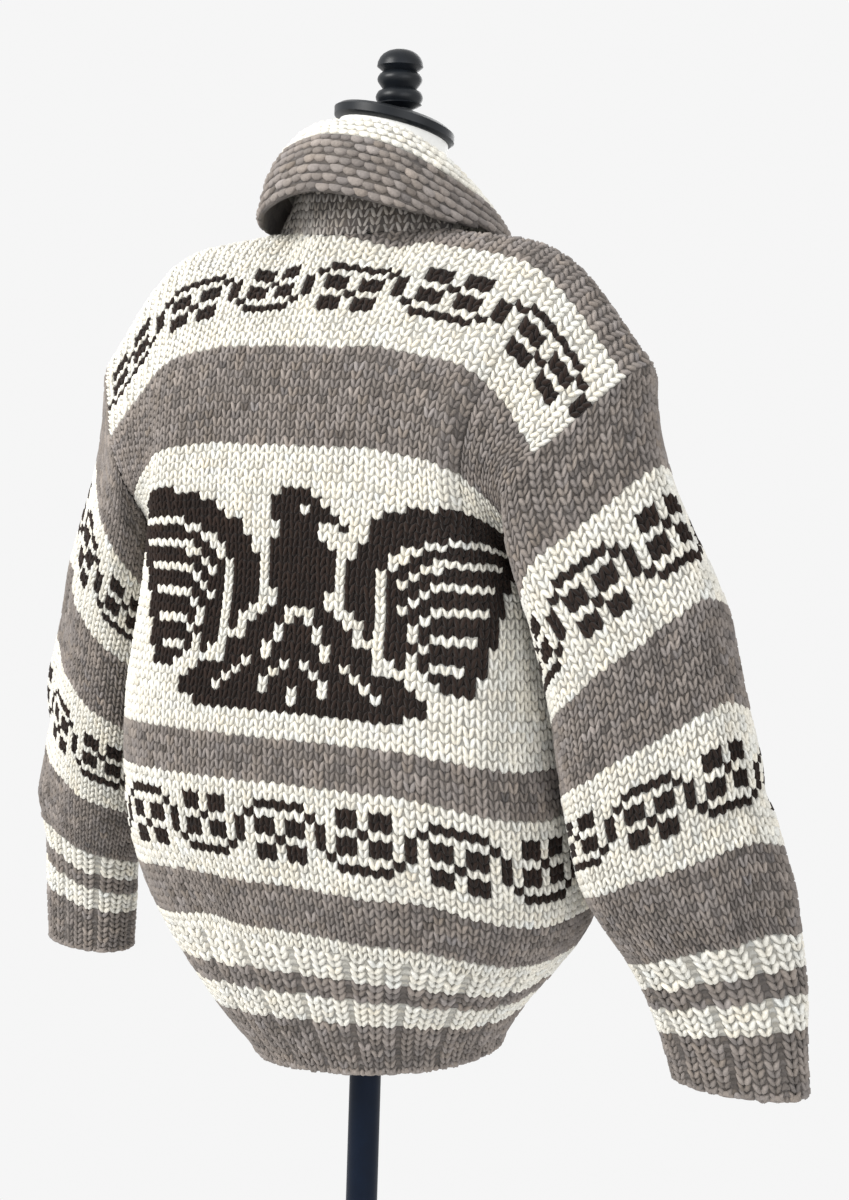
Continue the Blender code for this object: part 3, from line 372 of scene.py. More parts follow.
# The photograph's camera, in pixels and metres, and the studio
PHOTO_WIDTH = 849
PHOTO_HEIGHT = 1200
PRINCIPAL_X = 385.0
PRINCIPAL_Y = 430.0
FOCAL_PIXELS = 1800.0
SENSOR_HEIGHT = 24.0
CAMERA_AZIMUTH = 211.0
CAMERA_DISTANCE = 1.55
CAMERA_HEIGHT = 1.193
CAMERA_ROLL = 1.75
FLOOR_RADIUS = 1.1
MIDDLE = (0.0, 0.0, 1.05)
KEY_PLACE = (1.2, 2.2, 2.6)
FILL_PLACE = (-2.4, 1.4, 1.6)
FRONT_PLACE = (0.6, -2.6, 2.0)
KEY_SIZE = 1.6
FILL_SIZE = 2.4
KEY_ENERGY = 88.0
FILL_ENERGY = 24.0
WORLD_COLOUR = (0.92, 0.92, 0.92)
WORLD_STRENGTH = 1.0


# Surface of the cloth, the same curves that the CAD follows

def read_table(table, key):
    """The columns of a table at a key, by a smooth curve through its rows."""
    keys = [row[0] for row in table]
    key = min(max(key, keys[0]), keys[-1])
    i = max(j for j in range(len(keys) - 1) if keys[j] <= key) if key > keys[0] else 0
    lo, hi = table[i], table[i + 1]
    span = hi[0] - lo[0]
    x = (key - lo[0]) / span
    before = table[i - 1] if i > 0 else lo
    after = table[i + 2] if i + 2 < len(table) else hi
    values = []
    for c in range(1, len(lo)):
        m0 = (hi[c] - before[c]) / (hi[0] - before[0]) * span
        m1 = (after[c] - lo[c]) / (after[0] - lo[0]) * span
        a = (2 * x**3 - 3 * x**2 + 1) * lo[c] + (x**3 - 2 * x**2 + x) * m0
        values.append(a + (3 * x**2 - 2 * x**3) * hi[c] + (x**3 - x**2) * m1)
    return values


def smooth_step(x):
    x = min(max(x, 0.0), 1.0)
    return x * x * (3 - 2 * x)


def along(points, share):
    """The point at a share of a polyline's length."""
    lengths = [0.0]
    for a, b in zip(points, points[1:]):
        lengths.append(lengths[-1] + (b - a).length)
    target = share * lengths[-1]
    for i in range(len(points) - 1):
        if lengths[i + 1] >= target:
            step = lengths[i + 1] - lengths[i]
            return points[i].lerp(points[i + 1], (target - lengths[i]) / step if step else 0.0)
    return points[-1].copy()


@lru_cache(maxsize=None)
def half_ring(rise):
    width, depth, _, _, square = read_table(BODY_RINGS, rise)
    points = []
    for k in range(RING_STEPS + 1):
        a = math.pi * k / RING_STEPS
        x = width * abs(math.sin(a)) ** (2 / square)
        y = math.copysign(depth * abs(math.cos(a)) ** (2 / square), math.cos(a))
        points.append(Vector((x, y, 0.0)))
    return points


def ring_point(rise, share, side):
    _, _, shift_x, shift_y, _ = read_table(BODY_RINGS, rise)
    p = along(half_ring(rise), share)
    tilt = 1 - smooth_step(rise / HEM_TILT_REACH)
    level = rise + tilt * (HEM_TILT[0] * side * p.x + HEM_TILT[1] * p.y)
    return Vector((side * p.x + shift_x, p.y + shift_y, level + HEM_HEIGHT))


def spline_point(a, b, c, d, x):
    return 0.5 * (2 * b + (c - a) * x + (2 * a - 5 * b + 4 * c - d) * x**2 + (3 * b - a - 3 * c + d) * x**3)


def yoke_row(controls, share, side, at_top):
    row = [Vector((side * x, y, rise + HEM_HEIGHT)) for x, y, rise in controls]
    mirror = Vector((-row[1].x, row[1].y, row[1].z))
    row = [mirror, *row, 2 * row[-1] - row[-2]]
    i = min(int(share * 3), 2)
    if at_top and i == 1:
        row[1] = 2 * row[2] - row[3]
    return spline_point(row[i], row[i + 1], row[i + 2], row[i + 3], share * 3 - i)


@lru_cache(maxsize=None)
def column_parts(face, share, side):
    """One column of stitches below and above the underarm, as fine polylines."""
    ring_share = share / 2 if face == "back" else 1 - share / 2
    yoke, other = (BACK_YOKE, FRONT_YOKE) if face == "back" else (FRONT_YOKE, BACK_YOKE)
    step = (UNDERARM_RISE - HEM_RISE) / COLUMN_STEPS
    points = [ring_point(HEM_RISE + step * k, ring_share, side) for k in range(COLUMN_STEPS + 1)]
    knots = [ring_point(UNDERARM_RISE - KNOT_BELOW, ring_share, side), points[-1]]
    knots += [yoke_row(level, share, side, level is yoke[-1]) for level in yoke]
    straight_on = knots[-1] + (knots[-1] - knots[-2]) * STRAIGHT_ON
    over_shoulder = yoke_row(other[1], share, side, False)
    knots.append(straight_on.lerp(over_shoulder, smooth_step((share - NECK_BEND) / (NECK_SIDE - NECK_BEND))))
    for i in range(3):
        for k in range(1, YOKE_STEPS + 1):
            points.append(spline_point(knots[i], knots[i + 1], knots[i + 2], knots[i + 3], k / YOKE_STEPS))
    return points[:COLUMN_STEPS + 1], points[COLUMN_STEPS:]


def body_bare(face, across, up):
    """A point on the back (across -1 to 1, +1 at the wearer's left) or on a front."""
    side = 1 if across >= 0 else -1
    below, above = column_parts(face, round(min(abs(across), 1.0), 5), side)
    if up <= UNDERARM_LEVEL:
        return along(below, up / UNDERARM_LEVEL)
    return along(above, (up - UNDERARM_LEVEL) / (1 - UNDERARM_LEVEL))


def neck_level(share):
    """How far up a front's column reaches before the V neck cuts it."""
    if share >= NECK_SIDE:
        return 1.0
    yoke_top = NECK_FRONT_LEVEL + (1 - NECK_FRONT_LEVEL) * (share / NECK_SIDE) ** NECK_CURVE
    return UNDERARM_LEVEL + (1 - UNDERARM_LEVEL) * yoke_top


@lru_cache(maxsize=None)
def armhole_half(face, side):
    return list(reversed(column_parts(face, 1.0, side)[1]))


@lru_cache(maxsize=None)
def sleeve_cut(rise, side):
    """Half sections of the sleeve at a level: back half and front half, from the outer side."""
    cx, cy, half_long, half_short, turn = read_table(SLEEVE_CUTS, rise)
    turn = math.radians(turn)
    swing, fullness = SLEEVE_SWING[side]
    share = (rise - SLEEVE_CUTS[0][0]) / (SLEEVE_CUTS[-1][0] - SLEEVE_CUTS[0][0])
    cy += swing * math.sin(math.pi * min(max(share, 0.0), 1.0))
    half_long *= fullness

    def polar(angle):
        a = angle + turn
        long_part = abs(math.cos(a) / half_long) ** SLEEVE_SQUARE
        r = (long_part + abs(math.sin(a) / half_short) ** SLEEVE_SQUARE) ** (-1 / SLEEVE_SQUARE)
        return Vector((side * (cx + r * math.cos(angle)), cy + r * math.sin(angle), 0.0))

    back = [polar(math.pi * k / SLEEVE_STEPS) for k in range(SLEEVE_STEPS + 1)]
    front = [polar(-math.pi * k / SLEEVE_STEPS) for k in range(SLEEVE_STEPS + 1)]
    return back, front


def beside_body(x, y, rise, down, side):
    """Moves a sleeve point out until it lies clear of the body's side."""
    width, depth, shift_x, shift_y, square = read_table(BODY_RINGS, min(rise, UNDERARM_RISE))
    reach = 1 - abs((y - shift_y) / depth) ** square
    if reach <= 0 or down == 0:
        return x
    clear = SLEEVE_CLEAR * smooth_step(down / CLEAR_REACH)
    nearest = width * reach ** (1 / square) + side * shift_x + clear
    past = x - nearest
    soft = 2 * clear
    return nearest + 0.5 * (past + math.sqrt(past * past + soft * soft))


def sleeve_bare(around, down, side):
    """A point on the sleeve: around -1 to 1 with 0 on the outer line, down 0 at the armhole."""
    face = "back" if around >= 0 else "front"
    top = along(armhole_half(face, side), abs(around))
    z = top.z + (HEM_HEIGHT + CUFF_RISE - top.z) * down
    halves = sleeve_cut(round(z - HEM_HEIGHT, 1), side)
    cut = along(halves[0 if around >= 0 else 1], abs(around))
    mix = smooth_step(down / SLEEVE_BLEND)
    x, y = top.x + (cut.x - top.x) * mix, top.y + (cut.y - top.y) * mix
    return Vector((side * beside_body(side * x, y, z - HEM_HEIGHT, down, side), y, z))


def fold_height(folds, across, up):
    """The soft ridges and valleys at a place on a panel, in millimetres."""
    total = 0.0
    for at_across, at_up, half_across, half_up, depth in folds:
        u = (across - at_across) / half_across
        v = (up - at_up) / half_up
        total += CREASE_DEPTH * depth * math.exp(-u * u - v * v)
    return total


# Sheets of stitches

class Sheet:
    """Points and outward directions at every corner of a field of stitches, rows from the bottom up."""

    def __init__(
        self, point_at, columns, rows, lift_at=None, closed=False, judged=LOW_ROWS, base=0.0, ribbed=False
    ):
        grid = [[point_at(c, r) for c in range(columns + 1)] for r in range(rows + 1)]
        self.points = np.array(grid, float)
        if closed:
            padded = np.concatenate([self.points[:, -2:-1], self.points, self.points[:, 1:2]], axis=1)
            across = np.gradient(padded, axis=1)[:, 1:-1]
        else:
            across = np.gradient(self.points, axis=1)
        normal = np.cross(across, np.gradient(self.points, axis=0))
        normal /= np.maximum(np.linalg.norm(normal, axis=2, keepdims=True), 1e-9)
        outward = self.points - self.points.mean(axis=1, keepdims=True)
        sign = math.copysign(1.0, (normal * outward)[judged].sum())
        self.normals = normal * sign
        self.turned = sign < 0
        self.columns, self.rows, self.base = columns, rows, base
        self.ribbed = ribbed
        if lift_at:
            lift = np.array([[lift_at(c, r) for c in range(columns + 1)] for r in range(rows + 1)])
            self.points += self.normals * lift[:, :, None]

    def at(self, u, v, out):
        """Points at fractional columns u and rows v, raised by out millimetres."""
        if self.ribbed:
            rib = np.floor(u / RIB_STITCHES)
            phase = u / RIB_STITCHES - rib
            wide = phase / KNIT_SHARE * KNIT_WIDTH
            narrow = KNIT_WIDTH + (phase - KNIT_SHARE) / (1 - KNIT_SHARE) * (1 - KNIT_WIDTH)
            u = RIB_STITCHES * (rib + np.where(phase < KNIT_SHARE, wide, narrow))
        c = np.clip(np.floor(u).astype(int), 0, self.columns - 1)
        r = np.clip(np.floor(v).astype(int), 0, self.rows - 1)
        fu, fv = (u - c)[..., None], (v - r)[..., None]
        values = []
        for field in (self.points, self.normals):
            low = field[r, c] * (1 - fu) + field[r, c + 1] * fu
            high = field[r + 1, c] * (1 - fu) + field[r + 1, c + 1] * fu
            values.append(low * (1 - fv) + high * fv)
        return values[0] + values[1] * (out + self.base)[..., None]


def new_object(name, data):
    made = bpy.data.objects.new(name, data)
    bpy.context.scene.collection.objects.link(made)
    return made


def mesh_object(name, points, faces):
    """A mesh from arrays of points in millimetres and of faces with one size."""
    mesh = bpy.data.meshes.new(name)
    size = faces.shape[1]
    mesh.vertices.add(len(points))
    mesh.vertices.foreach_set("co", ((points + np.array(GARMENT_PLACE)) * MM).astype(np.float32).ravel())
    mesh.loops.add(faces.size)
    mesh.loops.foreach_set("vertex_index", faces.astype(np.int32).ravel())
    mesh.polygons.add(len(faces))
    mesh.polygons.foreach_set("loop_start", np.arange(0, faces.size, size, dtype=np.int32))
    mesh.update(calc_edges=True)
    mesh.validate()
    mesh.polygons.foreach_set("use_smooth", np.full(len(mesh.polygons), True))
    return new_object(name, mesh)


def template_from(bm):
    """The points and triangles of a bmesh, which is then freed."""
    bmesh.ops.triangulate(bm, faces=bm.faces[:])
    bmesh.ops.recalc_face_normals(bm, faces=bm.faces[:])
    points = np.array([v.co for v in bm.verts], float)
    faces = np.array([[v.index for v in f.verts] for f in bm.faces], int)
    bm.free()
    return points, faces


def knit_leg(side):
    """One leg of a V stitch in its cell: across 0 to 1, up 0 to 1 and out in millimetres."""
    bm = bmesh.new()
    bmesh.ops.create_uvsphere(bm, u_segments=4, v_segments=3, radius=1.0)
    for v in bm.verts:
        t = (v.co.z + 1) / 2
        centre = 0.5 + side * (LEG_FOOT + LEG_LEAN * t)
        rise = LEG_START + LEG_LENGTH * t
        height = -LEG_SINK + LEG_ARCH * math.sin(math.pi * (LEG_ARCH_START + LEG_ARCH_SPAN * t))
        x = centre + v.co.x * LEG_RADIUS + side * v.co.y * LEG_TWIST
        v.co = Vector((x, rise, height + v.co.y * LEG_THICK))
    return template_from(bm)


def knit_stitch():
    left, right = knit_leg(-1), knit_leg(1)
    return np.vstack([left[0], right[0]]), np.vstack([left[1], right[1] + len(left[0])])


def purl_bump():
    """The rounded bar of a purl stitch, lying across its cell."""
    bm = bmesh.new()
    bmesh.ops.create_uvsphere(bm, u_segments=6, v_segments=5, radius=1.0)
    for v in bm.verts:
        across, round_y, round_z = v.co.z, v.co.x, v.co.y
        arch = BUMP_ARCH * (1 - across * across)
        rise = BUMP_MIDDLE + arch + round_y * BUMP_ROW_RADIUS
        height = -BUMP_SINK + BUMP_SWELL * arch + round_z * BUMP_THICK
        v.co = Vector((0.5 + across * BUMP_HALF_WIDTH, rise, height))
    return template_from(bm)


KNIT = knit_stitch()
PURL = purl_bump()


def yarn_colours(yarns, seed):
    """Each stitch's colour: grey and dark wool are heathered, and cream is a little uneven."""
    rng = np.random.default_rng(seed)
    tone = rng.normal(0.0, 1.0, len(yarns))
    warm = rng.normal(0.0, 1.0, len(yarns))
    colours = np.array([YARNS[y] for y in yarns])
    amount = np.array([HEATHER[y] for y in yarns])
    colours = colours * (1 + amount * tone)[:, None]
    colours[:, 0] *= 1 + RED_SPREAD * warm
    colours[:, 2] *= 1 - BLUE_SPREAD * warm
    return np.clip(colours, LEAST_LIGHT, 1.0)


def lay_stitches(name, sheet, template, cells, yarns, relief_at=None, seed=1, shade=1.0):
    """Copies of one stitch in the given (column, row) cells of a sheet."""
    shape, triangles = template
    cells = np.array(cells, float).reshape(-1, 2)
    rng = np.random.default_rng(seed)
    size = 1 + rng.normal(0.0, SIZE_SPREAD, (len(cells), 1))
    lean = rng.normal(0.0, LEAN_SPREAD, (len(cells), 1))
    u = cells[:, :1] + 0.5 + (shape[None, :, 0] - 0.5) * size + lean
    v = cells[:, 1:] + 0.5 + (shape[None, :, 1] - 0.5) * size + rng.normal(0.0, ROW_SPREAD, (len(cells), 1))
    out = shape[None, :, 2] * size - STITCH_SINK + rng.normal(0.0, OUT_SPREAD, (len(cells), 1))
    if relief_at is not None:
        out = out + relief_at(u, v)
    points = sheet.at(u, v, out).reshape(-1, 3)
    faces = (triangles[None] + (np.arange(len(cells)) * len(shape))[:, None, None]).reshape(-1, 3)
    if sheet.turned:
        faces = faces[:, ::-1]
    made = mesh_object(name, points, faces)
    # Painted shade: each stitch darkens towards its sunken foot, and the shade argument darkens whole
    # stitches, as for purl stitches in a rib's valley.
    heights = (shape[:, 2] - shape[:, 2].min()) / np.ptp(shape[:, 2])
    painted_shade = shade * (STITCH_FOOT_PAINTED_SHADE + (1 - STITCH_FOOT_PAINTED_SHADE) * np.clip(heights * FOOT_PAINTED_SHADE_FADE, 0, 1))
    colours = yarn_colours(yarns, seed)[:, None, :] * painted_shade[None, :, None]
    paint(made, colours.reshape(-1, 3), "POINT")
    return made


def paint(made, colours, domain):
    """Keeps the wool's colour, darkened by any painted shade, on the mesh, for the material to read."""
    layer = made.data.color_attributes.new("wool", "FLOAT_COLOR", domain)
    rgba = np.concatenate([colours, np.ones((len(colours), 1))], axis=1)
    layer.data.foreach_set("color", rgba.astype(np.float32).ravel())


def backing(name, fields, seed):
    """The thin cloth behind the stitches, one face to a stitch, given its thickness inwards. Its colour is
    the yarn's, darkened as painted shade between the stitches.

    fields holds (sheet, cells, yarns, relief) for each part of the panel."""
    points, faces, colours = [], [], []
    total = 0
    for sheet, cells, yarns, relief_at in fields:
        corner, places, own = {}, [], []
        for c, r in cells:
            loop = []
            for place in ((c, r), (c + 1, r), (c + 1, r + 1), (c, r + 1)):
                if place not in corner:
                    corner[place] = len(places)
                    places.append(place)
                loop.append(corner[place])
            own.append(loop)
        places = np.array(places, float)
        relief = relief_at(places[:, 0], places[:, 1]) if relief_at else 0.0
        points.append(sheet.at(places[:, 0], places[:, 1], np.full(len(places), -BACKING_SINK) + relief))
        own = np.array(own)
        faces.append((own[:, ::-1] if sheet.turned else own) + total)
        # Painted shade: the backing takes its yarn's colour darkened, for the shade between the stitches.
        colours.append(yarn_colours(yarns, seed) * BACKING_PAINTED_SHADE)
        total += len(places)
    made = mesh_object(name, np.vstack(points), np.vstack(faces))
    paint(made, np.repeat(np.vstack(colours), 4, axis=0), "CORNER")
    wall = made.modifiers.new("wall", "SOLIDIFY")
    wall.thickness = BACKING_DEPTH * MM
    wall.offset = -1.0
    apply_modifiers(made)
    return made


def apply_modifiers(made):
    graph = bpy.context.evaluated_depsgraph_get()
    mesh = bpy.data.meshes.new_from_object(made.evaluated_get(graph), depsgraph=graph)
    made.modifiers.clear()
    made.data = mesh


# The collar's lines

def face_normal(face, share, side, up):
    """The outward direction of a body panel at one of its columns."""
    step = NORMAL_STEP
    lo, hi = max(share - step, LEAST_SHARE), min(share + step, 1.0)
    across = body_bare(face, side * hi, up) - body_bare(face, side * lo, up)
    rise = body_bare(face, side * share, min(up + step, 1.0)) - body_bare(face, side * share, up - step)
    return across.cross(rise).normalized() * (-side if face == "back" else side)


@lru_cache(maxsize=None)
def neck_corner(face, share, side):
    """The middle of the collar's wall just past a panel's neck edge."""

    def rim(place):
        return body_bare(face, side * place, 1.0 if face == "back" else neck_level(place))

    here = rim(share)
    up = 1.0 if face == "back" else neck_level(share)
    n = face_normal(face, max(share, NORMAL_STEP), side, up)
    onward = n.cross(rim(share + RIM_STEP) - rim(max(share - RIM_STEP, LEAST_SHARE)))
    onward *= math.copysign(1.0, onward.dot(here - body_bare(face, side * share, up - RIM_STEP)))
    if abs(share - NECK_SIDE) < RIM_STEP:
        top = 1 - NORMAL_STEP
        n = face_normal("back", share, side, top) + face_normal("front", share, side, top)
        n.normalize()
        onward = Vector((-side, 0, 0)) + n * n.x * side
    onward.normalize()
    return here + onward * COLLAR_SEAM_GAP - n * WALL / 2


def neck_seam(station):
    """The middle of the collar's seam at a station from the back (0) to the zip (1 or -1)."""
    side = 1 if station >= 0 else -1
    place = abs(station)
    if place < COLLAR_SIDE:
        face, share = "back", NECK_SIDE * place / COLLAR_SIDE
    else:
        face, share = "front", NECK_SIDE * (1 - (place - COLLAR_SIDE) / (1 - COLLAR_SIDE))
    first = min(int(share * NECK_COLUMNS + 1e-6), 3)
    least = FRONT_START if face == "front" else 0.0
    ends = [max(round(c / NECK_COLUMNS, 5), least) for c in (first, first + 1)]
    mix = min(max((share - ends[0]) / (ends[1] - ends[0]), 0.0), 1.0)
    return neck_corner(face, ends[0], side).lerp(neck_corner(face, ends[1], side), mix)


@lru_cache(maxsize=None)
def collar_centre(station):
    """The middle line of the collar's cloth at a station: its stand up to the fold, and its fall."""
    fx, fy, fr, ex, ey, er = read_table(WHOLE_COLLAR, station)
    seam = neck_seam(station)
    fold = Vector((fx, fy, fr + HEM_HEIGHT))
    edge = Vector((ex, ey, er + HEM_HEIGHT))
    out = Vector((edge.x - fold.x, edge.y - fold.y, 0.0)).normalized()
    roll = min(ROLL_HEIGHT, ROLL_SHARE * (fold.z - seam.z))
    knots = [seam, seam.lerp(fold, STAND_MIDDLE), fold - Vector((0, 0, roll))]
    for outward, down in ROLL_KNOTS:
        knots.append(fold + out * roll * outward - Vector((0, 0, roll * down)))
    start = knots[-1]
    swell = FALL_SWELL + BACK_SWELL * max(0.0, 1 - abs(station) / BACK_SWELL_REACH)
    for share in FALL_SHARES:
        bulge = swell * math.sin(math.pi * share) * (out + Vector((0, 0, SWELL_RISE)))
        knots.append(start.lerp(edge, share) + bulge)
    padded = [2 * knots[0] - knots[1], *knots, 2 * knots[-1] - knots[-2]]
    line = [knots[0]]
    for i in range(len(knots) - 1):
        for k in range(1, COLLAR_LINE_STEPS + 1):
            share = k / COLLAR_LINE_STEPS
            line.append(spline_point(padded[i], padded[i + 1], padded[i + 2], padded[i + 3], share))
    return line[:FOLD_POINT + 1], line[FOLD_POINT:]


def line_length(line):
    return sum((b - a).length for a, b in zip(line, line[1:]))


# Which yarn each stitch is worked in

def stripe_at(stripes, row):
    """The stripe that a row belongs to, and the row's place in it."""
    start = 0
    for name, rows in stripes:
        if row < start + rows:
            return name, row - start
        start += rows
    return stripes[-1][0], 0


def charted(chart, column, row):
    """The yarn at a chart's column, counted from the wearer's left, and row, counted up."""
    line = chart[len(chart) - 1 - row]
    return "dark" if 0 <= column < len(line) and line[column] == "X" else "cream"


def yarn_at(stripes, place, half, row, on_back):
    """The yarn of the stitch at a place across a panel, with half the panel's stitches in that row."""
    name, inside = stripe_at(stripes, row)
    if name.startswith("band"):
        from_cup = (CUP_PLACE[name] - place) * half
        return charted(BAND_CHART, int(math.floor(CUP_COLUMN + from_cup)) % len(BAND_CHART[0]), inside)
    if name == "bird":
        if not on_back:
            return "cream"
        middle = len(BIRD_CHART[0]) / 2
        return charted(BIRD_CHART, int(math.floor(middle + (BIRD_PLACE - place) * half)), inside)
    return name


# The body's panels

def half_count(row):
    """Stitches on half the back in a row: the armholes take some away."""
    if row < RIB_ROWS:
        return HALF_RIB_STITCHES
    armhole = smooth_step((row - UNDERARM_LEVEL * BODY_ROWS) / ARMHOLE_ROWS)
    return HALF_STITCHES + (HALF_YOKE_STITCHES - HALF_STITCHES) * armhole


def extra_rows(across):
    """Short rows that only the shoulders have."""
    return SHOULDER_ROWS * smooth_step(abs(across) / SHOULDER_REACH)


def row_up(row, across):
    """How far up a panel the bottom of a row lies. The wearer's right side hangs a little lower."""
    start = UNDERARM_LEVEL * BODY_ROWS
    if row <= start:
        sag = SIDE_SAG * smooth_step((-across - SAG_START) / SAG_REACH) * math.sin(math.pi * row / start)
        return row / BODY_ROWS - sag
    yoke_rows = BODY_ROWS - start + extra_rows(across)
    return UNDERARM_LEVEL + (row - start) / yoke_rows * (1 - UNDERARM_LEVEL)


def counted_row(row, last):
    """The row whose stitches are counted: the rib's own count holds up to its last row."""
    return min(row, last - 0.5) if last == RIB_ROWS else row


def across_at(column, middle, row):
    return min(max((column - middle) / half_count(row), -1.0), 1.0)


def back_sheet(first, last, middle):
    """The back between two rows, with columns counted either side of the middle."""

    def point_at(c, r):
        across = across_at(c, middle, counted_row(first + r, last))
        return body_bare("back", across, min(row_up(first + r, across), 1.0))

    def lift_at(c, r):
        across = across_at(c, middle, counted_row(first + r, last))
        edge = smooth_step((1 - abs(across)) / FOLD_FADE)
        return fold_height(BACK_FOLDS, across, row_up(first + r, across)) * edge

    return Sheet(point_at, 2 * middle, last - first, lift_at, ribbed=last == RIB_ROWS)


def front_edge(up):
    """The share of a front's row that the zip's gap takes."""
    tenth = body_bare("front", 0.1, up) - body_bare("front", NEAR_MIDDLE, up)
    return FRONT_GAP / (tenth.length * 10)


def front_place(column, row):
    """A front's column as a share from its zip edge to its side."""
    share = min(column / half_count(row), 1.0)
    edge = front_edge(min(row / BODY_ROWS, FRONT_EDGE_TOP))
    return edge + (1 - edge) * share if share < 1 else 1.0


def front_sheet(first, last, side):
    middle = HALF_RIB_STITCHES if last == RIB_ROWS else HALF_STITCHES

    def place_at(c, r):
        return front_place(c, counted_row(first + r, last))

    def point_at(c, r):
        share = place_at(c, r)
        return body_bare("front", side * share, min(row_up(first + r, side * share), neck_level(share)))

    def lift_at(c, r):
        share = place_at(c, r)
        edge = smooth_step((1 - share) / FOLD_FADE)
        return fold_height(FRONT_FOLDS, share, row_up(first + r, side * share)) * edge

    return Sheet(point_at, middle, last - first, lift_at, ribbed=last == RIB_ROWS)


def rib_relief(u, v):
    """Raises and sinks ribbed stitches: every fourth column lies back."""
    phase = (u / RIB_STITCHES) % 1.0
    out = RIB_CROWN * RIB_DEPTH * np.sin(np.pi * np.clip(phase / RIB_CROWN_SHARE, 0, 1))
    valley = np.clip((phase - RIB_CROWN_SHARE) / (1 - RIB_CROWN_SHARE), 0, 1)
    return out - RIB_DEPTH * np.sin(np.pi * valley)


def split_ribs(cells, yarns):
    """Knit cells and purl cells of a ribbed field, each with its yarns."""
    knit, purl = ([], []), ([], [])
    for cell, yarn in zip(cells, yarns):
        chosen = purl if cell[0] % RIB_STITCHES == RIB_STITCHES - 1 else knit
        chosen[0].append(cell)
        chosen[1].append(yarn)
    return knit, purl


def clothe(name, fields, seed):
    """One panel's backing and the stitches on it. Each field is (sheet, cells, yarns, ribbed)."""
    backed = [(sheet, cells, yarns, rib_relief if ribbed else None) for sheet, cells, yarns, ribbed in fields]
    shell = backing(name + "_backing", backed, seed)
    made = []
    for sheet, cells, yarns, ribbed in fields:
        if not ribbed:
            made.append(lay_stitches(name + "_stitches", sheet, KNIT, cells, yarns, None, seed + 1))
            continue
        knit, purl = split_ribs(cells, yarns)
        made.append(lay_stitches(name + "_ribs", sheet, KNIT, *knit, rib_relief, seed + 2))
        valleys = name + "_rib_valleys"
        # The purl stitches in the rib valleys are darkened as painted shade.
        made.append(lay_stitches(valleys, sheet, PURL, *purl, rib_relief, seed + 3, VALLEY_PAINTED_SHADE))
        edge = [(c, CAST_ON_ROW) for c, r in cells if r == 0]
        made.append(lay_stitches(name + "_cast_on", sheet, PURL, edge, ["grey"] * len(edge), None, seed + 4))
    finish_cloth(shell, made, name)
    return shell, made


def finish_cloth(shell, made, node_name):
    """Gives a panel its wool and its body, and lets its backing stand for the CAD node."""
    for piece in [shell, *made]:
        piece.data.materials.append(WOOL)
        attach(piece, BODY)
    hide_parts(node_name)


def declare_cloth(shell, made, width, length, filled):
    """The panel's cut, in metres, with the share of its rectangle that the cloth fills. These are not used.
    """
    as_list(made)


def field_of(sheet, first, last, columns, yarn_for):
    """A sheet, its cells that hold a stitch, their yarns, and whether it is ribbed."""
    cells, yarns = [], []
    for r in range(last - first):
        for c in range(columns):
            yarn = yarn_for(c, first + r)
            if yarn:
                cells.append((c, r))
                yarns.append(yarn)
    return sheet, cells, yarns, first == 0


def back_fields():
    fields = []
    for first, last, middle in PANEL_PARTS:

        def yarn_for(c, row):
            across = (c + 0.5 - middle) / half_count(row)
            inside = abs(c + 0.5 - middle) - 0.5 + EDGE_KEPT < half_count(row)
            if not inside or row_up(row + EDGE_KEPT, min(max(across, -1.0), 1.0)) >= 1.0:
                return None
            if row >= BODY_ROWS and across > 0:
                return "cream"
            return yarn_at(BODY_STRIPES, across, half_count(row), row, True)

        fields.append(field_of(back_sheet(first, last, middle), first, last, 2 * middle, yarn_for))
    return fields


def front_fields(side):
    fields = []
    for first, last, middle in PANEL_PARTS:

        def yarn_for(c, row):
            share = front_place(c + 0.5, row)
            inside = c + EDGE_KEPT < half_count(row)
            if not inside or row_up(row + EDGE_KEPT, share) >= neck_level(share):
                return None
            return yarn_at(BODY_STRIPES, -share, half_count(row), row, False)

        fields.append(field_of(front_sheet(first, last, side), first, last, middle, yarn_for))
    return fields


def sleeve_fields(side):
    fields = []
    for first, last, columns in SLEEVE_PARTS:

        def point_at(c, r):
            return sleeve_bare(2 * c / columns - 1, 1 - (first + r) / SLEEVE_ROWS, side)

        def lift_at(c, r):
            down = 1 - (first + r) / SLEEVE_ROWS
            edge = smooth_step(down / SEAM_FADE)
            return fold_height(SLEEVE_FOLDS, 2 * c / columns - 1, down) * edge

        def yarn_for(c, row):
            return yarn_at(SLEEVE_STRIPES, 2 * (c + 0.5) / columns - 1, columns / 2, row, False)

        sheet = Sheet(point_at, columns, last - first, lift_at, closed=True, ribbed=first == 0)
        fields.append(field_of(sheet, first, last, columns, yarn_for))
    return fields


